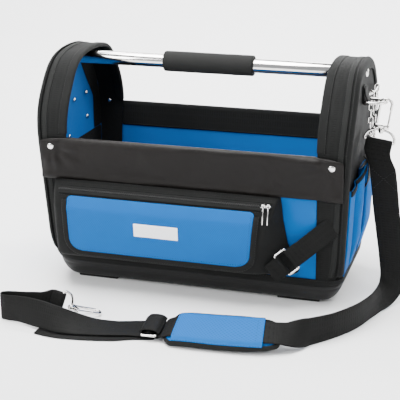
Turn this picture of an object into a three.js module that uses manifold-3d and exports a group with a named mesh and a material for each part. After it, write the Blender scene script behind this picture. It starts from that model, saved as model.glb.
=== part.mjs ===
// An open tool bag: a soft tote on a moulded tray, with a tube handle across the top, pockets
// outside, and a shoulder strap clipped on at its right end and lying in front of the bag.
// Millimetres. X runs along the bag, the front faces -Y and Z is up; the floor is Z = 0.

import * as THREE from 'three';
import { mergeVertices } from 'three/addons/utils/BufferGeometryUtils.js';
import Module from 'manifold-3d';

const wasm = await Module();
wasm.setup();

// Bag body
const bag_length = 450;
const bag_depth = 240;
const base_length = 434;
const base_depth = 200;
const front_rim_height = 222;
const back_rim_height = 228;
const arch_height = 338;
const arch_swell = 2;
const wall_cloth = 3;
const seam_radius = 5;
const tray_height = 32;
const tray_wall = 4.5;
const tray_floor = 4;
const tray_corner = 34;
const tray_inset = 15;
const foot_height = 4;
const foot_length = 62;
const foot_depth = 30;
const corner_fade = 50;

// Bands, bindings and folded edges
const band_width = 42;
const binding_thickness = 1.8;
const binding_reach = 8;
const edge_tape_width = 11;
const edge_tape_thickness = 1.2;
const lower_binding_height = 11;
const collar_drop = 55;
const collar_thickness = 2;
const back_band_drop = 38;
const inner_fold = 14;

// Front pocket
const pocket_left_margin = 22;
const pocket_right_margin = 110;
const pocket_length = bag_length - pocket_left_margin - pocket_right_margin;
const pocket_top = 166;
const pocket_bottom = 45;
const pocket_depth = 32;
const pocket_cloth = 2;
const pocket_left = pocket_left_margin - bag_length / 2;
const flap_left_margin = 30;
const flap_right_margin = 13;
const flap_left = pocket_left + flap_left_margin;
const flap_length = pocket_length - flap_left_margin - flap_right_margin;
const flap_top = 147;
const flap_bottom = 64;
const flap_corner = 18;
const flap_cloth = 2;
const flap_binding_width = 9;
const label_length = 66;
const label_height = 20;
const label_left = -72;
const label_bottom = 96;
const label_thickness = 0.8;
const zip_bottom = 149;
const zip_top = 160;
const zip_thickness = 1;
const zip_body_length = 6.4;
const zip_body_width = 5;
const zip_body_thickness = 2.4;
const zip_bail_wire = 1.4;
const zip_pull_length = 26;
const zip_pull_width = 2;
const zip_pull_thickness = 1.4;
const zip_spacing = 7;

// Compression strap at the right of the front pocket
const strap_cloth = 2;
const side_strap_width = 30;
const side_strap_top = 121;
const side_ring_length = 21;
const side_ring_wire = 3;
const side_tab_leg = 20;

// End pockets and webbing loops
const end_pocket_bottom = 46;
const end_pocket_cloth = 1.6;
const end_pocket_proud = 12;
const loop_width = 36;
const loop_top = 204;
const loop_bottom = 150;
const loop_proud = 11;

// Handle
const tube_radius = 10;
const tube_bore = 8.6;
const tube_drop = 17;
const tube_height = arch_height - tube_drop;
const grip_radius = 15;
const grip_length = 135;
const grip_centre = -3.5;
const screw_head_radius = 6.5;
const screw_shank_radius = 3;

// Rivets, rings and the tape chain
const rivet_radius = 5;
const rivet_dome = 2.2;
const small_rivet_radius = 3.6;
const ring_tab_width = 24;
const ring_wire = 4;
const ring_reach = 28;
const link_length = 13;
const link_width = 8.4;
const link_wire = 2;
const link_bite = 0.3;
const chain_span = 50;
const chain_drop = 74;
const chain_top_drop = 46;
const chain_top = arch_height - chain_top_drop;
const chain_start = 10;
const hanger_wire = 3;

// Shoulder strap and its fittings
const strap_width = 38;
const strap_reach = 290;
const hook_side = -24;
const eye_wire = 3.6;
const eye_reach = 17;
const boss_radius = 4.4;
const boss_height = 5;
const pin_radius = 1.6;
const hook_width = 20;
const hook_length = 44;
const hook_wire = 4;
const gate_wire = 2.6;
const gate_share = 0.6;
const pad_width = 58;
const pad_thickness = 8;
const sleeve_thickness = 1.2;
const slider_length = 24;
const slider_wire = 3;
const slider_slack = 1.4;

// Clearances
const gap = 0.3;
const binding_gap = 0.8;
const floor_gap = 0.3;

const V = (x, y, z) => new THREE.Vector3(x, y, z);
const X_AXIS = V(1, 0, 0);
const Y_AXIS = V(0, 1, 0);
const Z_AXIS = V(0, 0, 1);
const { lerp, clamp, degToRad } = THREE.MathUtils;
const moved = (point, direction, distance) => point.clone().addScaledVector(direction, distance);

// Solids from points

function closedGeometry(points, triangles) {
  let volume = 0;
  for (const [a, b, c] of triangles) {
    volume += points[a].dot(V(0, 0, 0).crossVectors(points[b], points[c]));
  }
  const outward = volume > 0 ? triangles : triangles.map(([a, b, c]) => [a, c, b]);
  const geometry = new THREE.BufferGeometry();
  const numbers = points.flatMap((point) => point.toArray());
  geometry.setAttribute('position', new THREE.Float32BufferAttribute(numbers, 3));
  geometry.setIndex(outward.flat());
  return geometry;
}

// A sheet with thickness, between two grids of points with the same rows and columns.
function slab(outer, inner) {
  const rows = outer.length;
  const columns = outer[0].length;
  const at = (layer, i, j) => (layer * rows + i) * columns + j;
  const triangles = [];
  const quad = (a, b, c, d) => triangles.push([a, b, c], [a, c, d]);
  for (let i = 0; i < rows - 1; i += 1) {
    for (let j = 0; j < columns - 1; j += 1) {
      quad(at(0, i, j), at(0, i, j + 1), at(0, i + 1, j + 1), at(0, i + 1, j));
      quad(at(1, i, j), at(1, i + 1, j), at(1, i + 1, j + 1), at(1, i, j + 1));
    }
    const last = columns - 1;
    quad(at(0, i, 0), at(0, i + 1, 0), at(1, i + 1, 0), at(1, i, 0));
    quad(at(0, i, last), at(1, i, last), at(1, i + 1, last), at(0, i + 1, last));
  }
  for (let j = 0; j < columns - 1; j += 1) {
    const top = rows - 1;
    quad(at(0, 0, j), at(1, 0, j), at(1, 0, j + 1), at(0, 0, j + 1));
    quad(at(0, top, j), at(0, top, j + 1), at(1, top, j + 1), at(1, top, j));
  }
  return closedGeometry([...outer.flat(), ...inner.flat()], triangles);
}

// Triangles over a flat or nearly flat ring, turning the same way as the ring.
function capTriangles(ring) {
  const normal = V(0, 0, 0);
  ring.forEach((point, i) => {
    const next = ring[(i + 1) % ring.length];
    normal.add(V(0, 0, 0).crossVectors(point, next));
  });
  normal.normalize();
  const u = Math.abs(normal.z) > 0.9 ? X_AXIS.clone() : Z_AXIS.clone();
  u.addScaledVector(normal, -u.dot(normal)).normalize();
  const v = V(0, 0, 0).crossVectors(normal, u);
  const flat = ring.map((point) => new THREE.Vector2(point.dot(u), point.dot(v)));
  return THREE.ShapeUtils.triangulateShape(flat, []).map(([a, b, c]) => {
    const turn = (flat[b].x - flat[a].x) * (flat[c].y - flat[a].y)
      - (flat[b].y - flat[a].y) * (flat[c].x - flat[a].x);
    return turn > 0 ? [a, b, c] : [a, c, b];
  });
}

// A solid through rings of equal point counts; a loop joins the last ring to the first.
function loft(rings, loop = false) {
  const count = rings[0].length;
  const triangles = [];
  const steps = loop ? rings.length : rings.length - 1;
  for (let k = 0; k < steps; k += 1) {
    const here = k * count;
    const there = ((k + 1) % rings.length) * count;
    for (let i = 0; i < count; i += 1) {
      const next = (i + 1) % count;
      triangles.push([here + i, here + next, there + next], [here + i, there + next, there + i]);
    }
  }
  if (!loop) {
    const end = (rings.length - 1) * count;
    capTriangles(rings[0]).forEach(([a, b, c]) => triangles.push([a, c, b]));
    capTriangles(rings.at(-1)).forEach(([a, b, c]) => triangles.push([end + a, end + b, end + c]));
  }
  return closedGeometry(rings.flat(), triangles);
}

function toSolid(geometry) {
  const bare = geometry.clone();
  bare.deleteAttribute('normal');
  bare.deleteAttribute('uv');
  const merged = mergeVertices(bare, 1e-4);
  return new wasm.Manifold(new wasm.Mesh({
    numProp: 3,
    vertProperties: Float32Array.from(merged.attributes.position.array),
    triVerts: Uint32Array.from(merged.index.array),
  }));
}

function toGeometry(solid) {
  const mesh = solid.getMesh();
  const geometry = new THREE.BufferGeometry();
  geometry.setAttribute('position', new THREE.Float32BufferAttribute(mesh.vertProperties, 3));
  geometry.setIndex(Array.from(mesh.triVerts));
  return geometry;
}

const join = (...geometries) => toGeometry(geometries.map(toSolid).reduce((a, b) => a.add(b)));

function cut(body, ...tools) {
  return toGeometry(tools.reduce((rest, tool) => rest.subtract(toSolid(tool)), toSolid(body)));
}

// Round wire along a path. The first section's side direction is given, and later ones follow it.
function wire(path, diameter, sides, side, loop = false) {
  const rings = path.map((point, k) => {
    const before = path[loop ? (k + path.length - 1) % path.length : Math.max(k - 1, 0)];
    const after = path[loop ? (k + 1) % path.length : Math.min(k + 1, path.length - 1)];
    const along = after.clone().sub(before).normalize();
    const v = V(0, 0, 0).crossVectors(along, side).normalize();
    const u = V(0, 0, 0).crossVectors(v, along);
    return Array.from({ length: sides }, (_, i) => {
      const angle = (i + 0.5) * 2 * Math.PI / sides;
      return moved(moved(point, u, Math.cos(angle) * diameter / 2), v, Math.sin(angle) * diameter / 2);
    });
  });
  return loft(rings, loop);
}

// Webbing along a line of centres, each with its own direction across the width.
function webbing(centres, across, width, thickness) {
  const rows = centres.map((centre, k) => {
    const before = centres[Math.max(k - 1, 0)];
    const after = centres[Math.min(k + 1, centres.length - 1)];
    const along = after.clone().sub(before);
    const normal = V(0, 0, 0).crossVectors(along, across[k]).normalize();
    const edges = [moved(centre, across[k], -width / 2), moved(centre, across[k], width / 2)];
    return [thickness / 2, -thickness / 2].map((lift) => edges.map((edge) => moved(edge, normal, lift)));
  });
  return slab(rows.map((row) => row[0]), rows.map((row) => row[1]));
}

// Centres of webbing that comes in past a round bar, turns round it and is folded back flat.
function turnRound(bar, bar_diameter, toward, normal, leg) {
  const radius = (bar_diameter / 2 + gap + strap_cloth / 2) / Math.cos(Math.PI / 8);
  const fold = -radius + strap_cloth + gap * 2;
  const points = [moved(moved(bar, toward, -leg), normal, -radius)];
  for (const angle of [-90, -45, 0, 45, 90]) {
    const turn = degToRad(angle);
    points.push(moved(moved(bar, toward, Math.cos(turn) * radius), normal, Math.sin(turn) * radius));
  }
  points.push(moved(moved(bar, toward, -leg * 0.45), normal, fold));
  points.push(moved(moved(bar, toward, -leg * 0.9), normal, fold));
  return points;
}

function cylinder(radius, from, to, sides = 12) {
  const axis = to.clone().sub(from);
  const geometry = new THREE.CylinderGeometry(radius, radius, axis.length(), sides);
  const turn = new THREE.Quaternion().setFromUnitVectors(Y_AXIS, axis.clone().normalize());
  geometry.applyQuaternion(turn);
  const middle = from.clone().lerp(to, 0.5);
  return geometry.translate(middle.x, middle.y, middle.z);
}

// Scene graph

const bag = new THREE.Group();
bag.name = 'tool_bag';

const finishes = {
  blue_cloth: { color: 0x1f8ad6, roughness: 0.8, metalness: 0 },
  black_cloth: { color: 0x2b2b29, roughness: 0.85, metalness: 0 },
  collar_cloth: { color: 0x35312e, roughness: 0.6, metalness: 0 },
  webbing: { color: 0x262624, roughness: 0.85, metalness: 0 },
  tray_plastic: { color: 0x2c2c2b, roughness: 0.6, metalness: 0 },
  foam: { color: 0x484a48, roughness: 0.9, metalness: 0 },
  chrome: { color: 0xd8d8da, roughness: 0.15, metalness: 1 },
  white_label: { color: 0xf2f4f6, roughness: 0.6, metalness: 0 },
};

function add(name, geometry, finish, parent = bag) {
  const mesh = new THREE.Mesh(geometry, new THREE.MeshStandardMaterial(finishes[finish]));
  mesh.name = name;
  parent.add(mesh);
  return mesh;
}

// Shape of the walls

const half_rim = bag_length / 2;
const band_inner_edge = half_rim - band_width;
const wall_bottom = tray_height + gap;

// Size in plan at a height: sloping walls, with rounder corners near the tray.
function planAt(z) {
  const share = (Math.min(z, back_rim_height) - tray_height) / (back_rim_height - tray_height);
  const fade = clamp(1 - (z - tray_height) / corner_fade, 0, 1);
  return {
    half_length: lerp(base_length / 2, bag_length / 2, share),
    half_depth: lerp(base_depth / 2, bag_depth / 2, share),
    corner: lerp(seam_radius, tray_corner, fade * fade),
  };
}

// Side view of the arch over each end, from the rim up: shares of the half depth and of its height.
const ARCH = [
  // depth, height
  [1.0, 0.0],
  [0.975, 0.2],
  [0.9, 0.42],
  [0.77, 0.62],
  [0.65, 0.8],
  [0.49, 0.93],
  [0.25, 0.985],
  [0.06, 1.0],
];

const wall_heights = [
  wall_bottom,
  tray_height + lower_binding_height + 2 * gap,
  tray_height + 0.5 * corner_fade,
  tray_height + corner_fade,
  0.55 * front_rim_height,
  front_rim_height - collar_drop,
  front_rim_height,
  back_rim_height,
];

const arch_rise = arch_height - back_rim_height;

// Outside half length of the bag at a height, where the ends swell a little over the rim.
function halfLengthAt(z) {
  const share = clamp((z - back_rim_height) / arch_rise, 0, 1);
  return planAt(z).half_length + arch_swell * Math.sin(Math.PI * share);
}

const tube_half = halfLengthAt(tube_height + tube_radius) - wall_cloth - 2 * gap;

// Run of the walls outward for each millimetre of height.
const wall_slope = (bag_depth - base_depth) / 2 / (back_rim_height - tray_height);
const front_normal = V(0, -1, -wall_slope).normalize();

// Stations up the front wall, over the arch and down the back wall, with outward normals.
function wallStations() {
  const up = wall_heights.map((z) => {
    const plan = planAt(z);
    return { y: -plan.half_depth, z, half_length: plan.half_length, corner: plan.corner };
  });
  ARCH.slice(1).forEach(([depth, height]) => {
    const z = back_rim_height + height * arch_rise;
    up.push({ y: -depth * bag_depth / 2, z, half_length: halfLengthAt(z), corner: seam_radius });
  });
  const down = up.map((station) => ({ ...station, y: -station.y })).reverse();
  const all = [...up, ...down];
  return all.map((station, k) => {
    const before = all[Math.max(k - 1, 0)];
    const after = all[Math.min(k + 1, all.length - 1)];
    const along = new THREE.Vector2(after.y - before.y, after.z - before.z).normalize();
    return { ...station, ny: -along.y, nz: along.x };
  });
}

const stations = wallStations();
const station_count = stations.length;

// A point on a band or end panel: distance from the corner seam (towards the end panel if positive)
// and lift off the outer face.
function seamPoint(station, end, distance, lift) {
  const arc = station.corner * Math.PI / 4;
  let out = station.half_length - station.corner;
  let rise = -station.corner;
  if (distance < -arc) {
    out += distance + arc;
    rise = lift;
  } else if (distance > arc) {
    rise -= distance - arc;
    out = halfLengthAt(station.z + station.nz * rise) + lift;
  } else {
    const angle = Math.PI / 4 + distance / station.corner;
    out += (station.corner + lift) * Math.sin(angle);
    rise += (station.corner + lift) * Math.cos(angle);
  }
  return V(end * out, station.y + station.ny * rise, station.z + station.nz * rise);
}

// Half of the open seam, as a share of the corner's radius.
const seam_slit = 0.075;

function bandRow(station, end, lift) {
  const arc = station.corner * Math.PI / 4;
  const flat = station.half_length - station.corner - band_inner_edge;
  const distances = [-arc - flat, -arc - flat / 2, -arc, -arc / 2, -station.corner * seam_slit];
  return distances.map((distance) => seamPoint(station, end, distance, lift));
}

function endPanelRow(k, end, lift) {
  const front = stations[k];
  const back = stations[station_count - 1 - k];
  const arc = front.corner * Math.PI / 4;
  const edge = [front.corner * seam_slit, arc / 2, arc];
  const row = edge.map((distance) => seamPoint(front, end, distance, lift));
  const far = edge.map((distance) => seamPoint(back, end, distance, lift)).reverse();
  [0.33, 0.67].forEach((share) => row.push(row[2].clone().lerp(far[0], share)));
  return [...row, ...far];
}

// A point on the outer face of the front wall (side -1) or back wall (side 1), lifted off it.
function wallPoint(side, x, z, lift) {
  return V(x, side * (planAt(z).half_depth + lift), z);
}

// Tray, floor and walls

function roundedRing(half_x, half_y, corner, z) {
  const points = [];
  [[1, 1, 0], [-1, 1, 90], [-1, -1, 180], [1, -1, 270]].forEach(([sx, sy, start]) => {
    for (let step = 0; step <= 4; step += 1) {
      const angle = degToRad(start + step * 22.5);
      const x = sx * (half_x - corner) + corner * Math.cos(angle);
      points.push(V(x, sy * (half_y - corner) + corner * Math.sin(angle), z));
    }
  });
  return points;
}

function makeTray() {
  const ring = (z, inset) => roundedRing(
    base_length / 2 - inset, base_depth / 2 - inset, Math.max(tray_corner - inset, 6), z);
  const inner_floor = foot_height + tray_floor;
  const shell = loft([
    ring(foot_height, tray_inset + 3),
    ring(foot_height + 2, tray_inset - 1),
    ring(foot_height + 9, tray_inset * 0.5),
    ring(tray_height, 0),
    ring(tray_height, tray_wall),
    ring(foot_height + 12, tray_inset * 0.5 + tray_wall),
    ring(inner_floor, tray_inset + tray_wall),
  ]);
  const pads = [[0, 0]];
  const foot_x = base_length / 2 - tray_inset - tray_corner / 2 - foot_length / 2;
  const foot_y = base_depth / 2 - tray_inset - foot_depth / 2 - 4;
  [-1, 1].forEach((sx) => [-1, 1].forEach((sy) => pads.push([sx * foot_x, sy * foot_y])));
  const feet = pads.map(([x, y]) => {
    const block = new THREE.BoxGeometry(foot_length, foot_depth, foot_height + tray_floor / 2);
    return block.translate(x, y, (foot_height + tray_floor / 2) / 2);
  });
  return join(shell, ...feet);
}

// A flat wall between the two bands.
function makeWall(side, rim) {
  const half = band_inner_edge - gap;
  const heights = wall_heights.filter((z) => z < rim - 1);
  heights.push(rim);
  const grid = (lift) => heights.map((z) => [-half, half].map((x) => wallPoint(side, x, z, lift)));
  return slab(grid(0), grid(-wall_cloth));
}

function makeBand(end) {
  const grid = (lift) => stations.map((station) => bandRow(station, end, lift));
  return slab(grid(0), grid(-wall_cloth));
}

function makeEndPanel(end) {
  const rows = Array.from({ length: station_count / 2 - 1 }, (_, k) => k);
  const grid = (lift) => rows.map((k) => endPanelRow(k, end, lift));
  return slab(grid(0), grid(-wall_cloth));
}

// Binding folded round the corner seam, from above the tray, over the arch and down again.
function makeOuterBinding(end) {
  const run = stations.slice(1, -1);
  const distances = [-1, -0.5, 0, 0.5, 1].map((share) => share * binding_reach);
  const grid = (lift) => run.map((station) => distances.map((d) => seamPoint(station, end, d, lift)));
  return slab(grid(binding_gap + binding_thickness), grid(binding_gap));
}

// Tape folded over the free inner edge of a band, from rim to rim.
function makeEdgeTape(end) {
  const rim_index = wall_heights.length - 1;
  const run = stations.slice(rim_index, station_count - rim_index);
  const out = gap + edge_tape_thickness;
  const back = -wall_cloth - gap - edge_tape_thickness;
  const section = [
    [edge_tape_width, out],
    [-out, out],
    [-out, back],
    [edge_tape_width, back],
    [edge_tape_width, back + edge_tape_thickness],
    [-gap, back + edge_tape_thickness],
    [-gap, gap],
    [edge_tape_width, gap],
  ];
  const lifted = 1.5;
  return loft(run.map((station, k) => section.map(([a, b]) => V(
    end * (band_inner_edge + a),
    station.y + station.ny * b,
    station.z + station.nz * b + (k === 0 || k === run.length - 1 ? lifted : 0)))));
}

// Binding all round the lower edge of the cloth, just above the tray.
function makeLowerBinding() {
  const ring = (z, lift) => {
    const plan = planAt(z);
    return roundedRing(plan.half_length + lift, plan.half_depth + lift, plan.corner + lift, z);
  };
  const top = tray_height + lower_binding_height;
  const out = gap + edge_tape_thickness;
  return loft([ring(wall_bottom, gap), ring(wall_bottom, out), ring(top, out), ring(top, gap)], true);
}

// Cloth folded over the top of a wall; the outside may run wider than the fold.
function foldedEdge(side, rim, outer_drop, inner_drop, outer_half, fold_half, thickness) {
  const outside = gap + thickness;
  const inside = -wall_cloth - gap;
  const rows = [
    // half width, height, lift of the outer face, lift of the inner face
    [outer_half, rim - outer_drop, outside, gap],
    [outer_half, rim - outer_drop * 0.5, outside, gap],
    [outer_half, rim - 1, outside, gap],
  ];
  const outer = rows.map(([half, z, lift]) => [-half, half].map((x) => wallPoint(side, x, z, lift)));
  const inner = rows.map(([half, z, , lift]) => [-half, half].map((x) => wallPoint(side, x, z, lift)));
  const fold = (z, lift) => [-fold_half, fold_half].map((x) => wallPoint(side, x, z, lift));
  outer.push(fold(rim + outside, outside), fold(rim + outside, inside - thickness));
  inner.push(fold(rim + gap, gap), fold(rim + gap, inside));
  outer.push(fold(rim - inner_drop, inside - thickness));
  inner.push(fold(rim - inner_drop, inside));
  return slab(outer, inner);
}

add('base_tray', makeTray(), 'tray_plastic');
add('front_panel', makeWall(-1, front_rim_height), 'blue_cloth');
add('back_panel', makeWall(1, back_rim_height), 'blue_cloth');
add('lower_binding', makeLowerBinding(), 'black_cloth');

const collar_half = half_rim - binding_reach - seam_radius;
const fold_half = band_inner_edge - edge_tape_thickness - 2 * gap;
add('front_collar', foldedEdge(-1, front_rim_height, collar_drop, inner_fold, collar_half, fold_half,
  collar_thickness), 'collar_cloth');
add('back_top_band', foldedEdge(1, back_rim_height, back_band_drop, back_band_drop, fold_half,
  fold_half, edge_tape_thickness), 'black_cloth');

const ends = [[-1, 'left'], [1, 'right']];
ends.forEach(([end, side]) => {
  add(`end_panel_${side}`, makeBoredEndPanel(end), 'blue_cloth');
  add(`band_${side}`, makeBand(end), 'black_cloth');
  add(`outer_binding_${side}`, makeOuterBinding(end), 'black_cloth');
  add(`edge_tape_${side}`, makeEdgeTape(end), 'black_cloth');
});

// Front pocket: height, depth out from the wall and the two right edges, as shares of its size.
const POCKET = [
  // height, depth, right edge in front, right edge at the wall
  [0.0, 0.0, 0.94, 1.1],
  [0.03, 0.7, 0.945, 1.125],
  [0.075, 0.92, 0.955, 1.145],
  [0.41, 1.0, 0.975, 1.09],
  [0.7, 1.0, 1.015, 1.07],
  [0.85, 0.8, 1.04, 1.065],
  [0.95, 0.5, 1.045, 1.06],
  [1.0, 0.0, 1.045, 1.055],
];
const pocket_height = pocket_top - pocket_bottom;
const pocket_corner = 11;

// Depth of the pocket's outer face at a height.
function pocketDepthAt(z) {
  const share = (z - pocket_bottom) / pocket_height;
  const k = Math.max(POCKET.findIndex(([height]) => height >= share), 1);
  const [low, low_depth] = POCKET[k - 1];
  const [high, high_depth] = POCKET[k];
  return gap + pocket_depth * lerp(low_depth, high_depth, (share - low) / (high - low));
}

function makeFrontPocket() {
  const right = (share) => pocket_left + pocket_length * share;
  const grid = (inset) => POCKET.map(([height, depth, front_share, wall_share], k) => {
    let z = pocket_bottom + height * pocket_height;
    if (k === 0) z += inset;
    if (k === POCKET.length - 1) z -= inset;
    const lift = Math.max(gap + depth * pocket_depth - inset, gap);
    return [
      wallPoint(-1, pocket_left + inset, z, gap),
      wallPoint(-1, pocket_left + pocket_corner + inset, z, lift),
      wallPoint(-1, right(front_share) - inset, z, lift),
      wallPoint(-1, right(wall_share) - inset, z, gap),
    ];
  });
  return slab(grid(0), grid(pocket_cloth));
}

// A point on the pocket's front, lifted off it.
const pocketPoint = (x, z, lift) => wallPoint(-1, x, z, pocketDepthAt(z) + lift);

// Left and right edge of the flap at a height, with its lower corners rounded.
function flapEdges(z) {
  const below = clamp(flap_bottom + flap_corner - z, 0, flap_corner);
  const shrink = flap_corner - Math.sqrt(flap_corner ** 2 - below ** 2);
  const flare = 0.03 * flap_length * (z - flap_bottom) / (flap_top - flap_bottom);
  return [flap_left + shrink, flap_left + 0.97 * flap_length + flare - shrink];
}

// Heights where the pocket's face bends, inside a range.
function pocketBends(low, high) {
  const bends = POCKET.map(([height]) => pocket_bottom + height * pocket_height);
  return bends.filter((z) => z > low + 1 && z < high - 1);
}

function makeFlap() {
  const rounded = [0, 0.08, 0.3, 0.62, 1].map((share) => flap_bottom + share * flap_corner);
  const heights = [...rounded, ...pocketBends(rounded.at(-1), flap_top), flap_top];
  const grid = (lift) => heights.map((z) => flapEdges(z).map((x) => pocketPoint(x, z, lift)));
  return slab(grid(gap + flap_cloth), grid(gap));
}

// Binding down the left edge, along the bottom and up the right edge of the flap.
function makeFlapBinding() {
  const corner_z = flap_bottom + flap_corner;
  const heights = [flap_top, ...pocketBends(corner_z, flap_top).reverse()];
  const right_side = [...heights].reverse().map((z) => ({ at: V(flapEdges(z)[1], z, 0), out: V(1, 0, 0) }));
  const left_side = heights.map((z) => ({ at: V(flapEdges(z)[0], z, 0), out: V(-1, 0, 0) }));
  const rounded = (x, start) => [0, 22.5, 45, 67.5, 90].map((step) => {
    const angle = degToRad(start + step);
    const out = V(Math.cos(angle), Math.sin(angle), 0);
    return { at: moved(V(x, corner_z, 0), out, flap_corner), out };
  });
  const [low_left, low_right] = flapEdges(corner_z);
  const outline = [...left_side, ...rounded(low_left + flap_corner, 180),
    ...rounded(low_right - flap_corner, 270), ...right_side];
  const grid = (lift) => outline.map(({ at, out }) => [gap * 2, flap_binding_width].map((reach) => {
    const point = moved(at, out, reach);
    return pocketPoint(point.x, point.y, lift);
  }));
  return slab(grid(gap + flap_cloth), grid(gap));
}

function makeLabel() {
  const low = gap + flap_cloth + gap;
  const sides = [label_left, label_left + label_length];
  const heights = [label_bottom, label_bottom + label_height];
  const grid = (lift) => heights.map((z) => sides.map((x) => pocketPoint(x, z, lift)));
  return slab(grid(low + label_thickness), grid(low));
}

const zip_left = pocket_left + pocket_corner + 4;
const zip_right = pocket_left + 1.03 * pocket_length;

function makeZipTape() {
  const heights = [zip_bottom, ...pocketBends(zip_bottom, zip_top), zip_top];
  const grid = (lift) => heights.map((z) => [zip_left, zip_right].map((x) => pocketPoint(x, z, lift)));
  return slab(grid(gap + zip_thickness), grid(gap));
}

add('front_pocket', makeFrontPocket(), 'black_cloth');
add('pocket_flap', makeFlap(), 'blue_cloth');
add('flap_binding', makeFlapBinding(), 'black_cloth');
add('label_patch', makeLabel(), 'white_label');
add('zip_tape', makeZipTape(), 'black_cloth');

// Two zip sliders, each with a bail along the zip that a thin pull hangs from.
const zip_middle = (zip_bottom + zip_top) / 2;
const bail_hole = zip_bail_wire / 2 + gap;
const pull_eye = bail_hole + 1.1;
const bail_height = zip_body_thickness + pull_eye + 1;
const zip_seat = pocketPoint(0, zip_middle, gap + zip_thickness + gap);
const zip_slope = pocketPoint(0, zip_top, 0).sub(pocketPoint(0, zip_bottom, 0)).normalize();
const zip_normal = V(0, 0, 0).crossVectors(X_AXIS, zip_slope).normalize();
const pull_pivot = moved(zip_seat, zip_normal, bail_height);

function makeZipSlider() {
  const body = new THREE.BoxGeometry(zip_body_length, zip_body_width, zip_body_thickness);
  body.translate(0, 0, zip_body_thickness / 2);
  const half = (zip_body_length - zip_bail_wire) / 2;
  const low = zip_body_thickness * 0.6;
  const arch = [[-half, low], [-half, bail_height], [half, bail_height], [half, low]];
  return join(body, wire(arch.map(([a, h]) => V(a, 0, h)), zip_bail_wire, 6, Y_AXIS));
}

// A pull with its eye at the origin, hanging down.
function makeZipPull() {
  const half = zip_pull_thickness / 2;
  const eye = cylinder(pull_eye, V(-half, 0, 0), V(half, 0, 0), 10);
  const bar = new THREE.BoxGeometry(zip_pull_thickness, zip_pull_width, zip_pull_length);
  bar.translate(0, 0, -pull_eye * 0.8 - zip_pull_length / 2);
  return cut(join(eye, bar), cylinder(bail_hole, V(-2 * half, 0, 0), V(2 * half, 0, 0), 10));
}

const pull_end = pocketPoint(0, pull_pivot.z - zip_pull_length, gap + zip_pull_width);
const pull_lean = Math.atan2(pull_pivot.y - pull_end.y, zip_pull_length);
const zip_turn = new THREE.Matrix4().makeBasis(X_AXIS, zip_slope, zip_normal);
[['a', 1.5], ['b', 0.5]].forEach(([letter, place]) => {
  const x = zip_right - place * zip_spacing;
  const slider = add(`zip_slider_${letter}`, makeZipSlider(), 'chrome');
  slider.quaternion.setFromRotationMatrix(zip_turn);
  slider.position.copy(zip_seat).setX(x);
  const pull = add(`zip_pull_${letter}`, makeZipPull(), 'chrome');
  pull.position.copy(pull_pivot).setX(x);
  pull.rotation.x = -Math.max(pull_lean, 0);
});

// Compression strap: from the right band down to a ring, and a tab from the ring to the pocket.
const side_strap_start = wallPoint(-1, collar_half - 0.42 * side_strap_width, side_strap_top,
  2 * gap + strap_cloth / 2);
const side_ring_centre = wallPoint(-1, 0.645 * half_rim, 0.605 * side_strap_top, 0.6 * pocket_depth);
const side_way = side_ring_centre.clone().sub(side_strap_start).normalize();
const side_across = V(0, 0, 0).crossVectors(side_way, front_normal).normalize();
const side_normal = V(0, 0, 0).crossVectors(side_way, side_across).normalize();
const side_ring_half = (side_ring_length - side_ring_wire) / 2;

// A flat ring of wire with two long bars and rounded corners, in its own X (short) and Y (long).
function rectangleRing(half_x, half_y, diameter) {
  const cut_corner = diameter * 0.8;
  const points = [];
  [[1, 1], [-1, 1], [-1, -1], [1, -1]].forEach(([sx, sy]) => {
    const ends = [[half_x, half_y - cut_corner], [half_x - cut_corner, half_y]];
    if (sx * sy < 0) ends.reverse();
    ends.forEach(([x, y]) => points.push(V(sx * x, sy * y, 0)));
  });
  return wire(points, diameter, 6, Z_AXIS, true);
}

function makeSideRing() {
  const half_y = side_strap_width / 2 + 2 * gap + side_ring_wire / 2;
  const basis = new THREE.Matrix4().makeBasis(side_way, side_across, side_normal);
  return rectangleRing(side_ring_half, half_y, side_ring_wire).applyMatrix4(basis)
    .translate(...side_ring_centre.toArray());
}

function sideWebbing(bar_place, toward, leg, first) {
  const bar = moved(side_ring_centre, side_way, bar_place);
  const inward = side_normal.clone().multiplyScalar(side_normal.y > 0 ? 1 : -1);
  const centres = turnRound(bar, side_ring_wire, toward, inward, leg);
  if (first) centres.unshift(first);
  return webbing(centres, centres.map(() => side_across), side_strap_width, strap_cloth);
}

add('side_strap', sideWebbing(-side_ring_half, side_way, side_tab_leg, side_strap_start), 'webbing');
add('side_ring', makeSideRing(), 'chrome');
add('side_tab', sideWebbing(side_ring_half, side_way.clone().negate(), side_tab_leg), 'webbing');

// End pockets: one cloth stitched down in sections. Shares of the half depth and of the bulge,
// and the height of the mouth as a share of the rim's height.
const END_POCKET = [
  // depth, bulge, mouth
  [-0.865, 0.0, 0.79],
  [-0.84, 0.3, 0.79],
  [-0.55, 0.3, 0.79],
  [-0.49, 0.0, 0.8],
  [-0.44, 0.75, 0.85],
  [-0.34, 1.0, 0.89],
  [-0.24, 0.75, 0.87],
  [-0.175, 0.0, 0.84],
  [0.175, 0.0, 0.84],
  [0.24, 0.75, 0.86],
  [0.45, 1.0, 0.87],
  [0.66, 0.75, 0.85],
  [0.74, 0.0, 0.83],
];
// Up a pocket: shares of its height and of its bulge.
const END_POCKET_RISE = [
  [0.0, 0.0],
  [0.07, 0.55],
  [0.3, 0.9],
  [0.65, 1.0],
  [1.0, 1.0],
];

function endPocketPoint(end, depth, z, lift) {
  const plan = planAt(z);
  return V(end * (plan.half_length + lift), depth * plan.half_depth, z);
}

const mouthHeight = (mouth) => mouth * front_rim_height;

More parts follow.
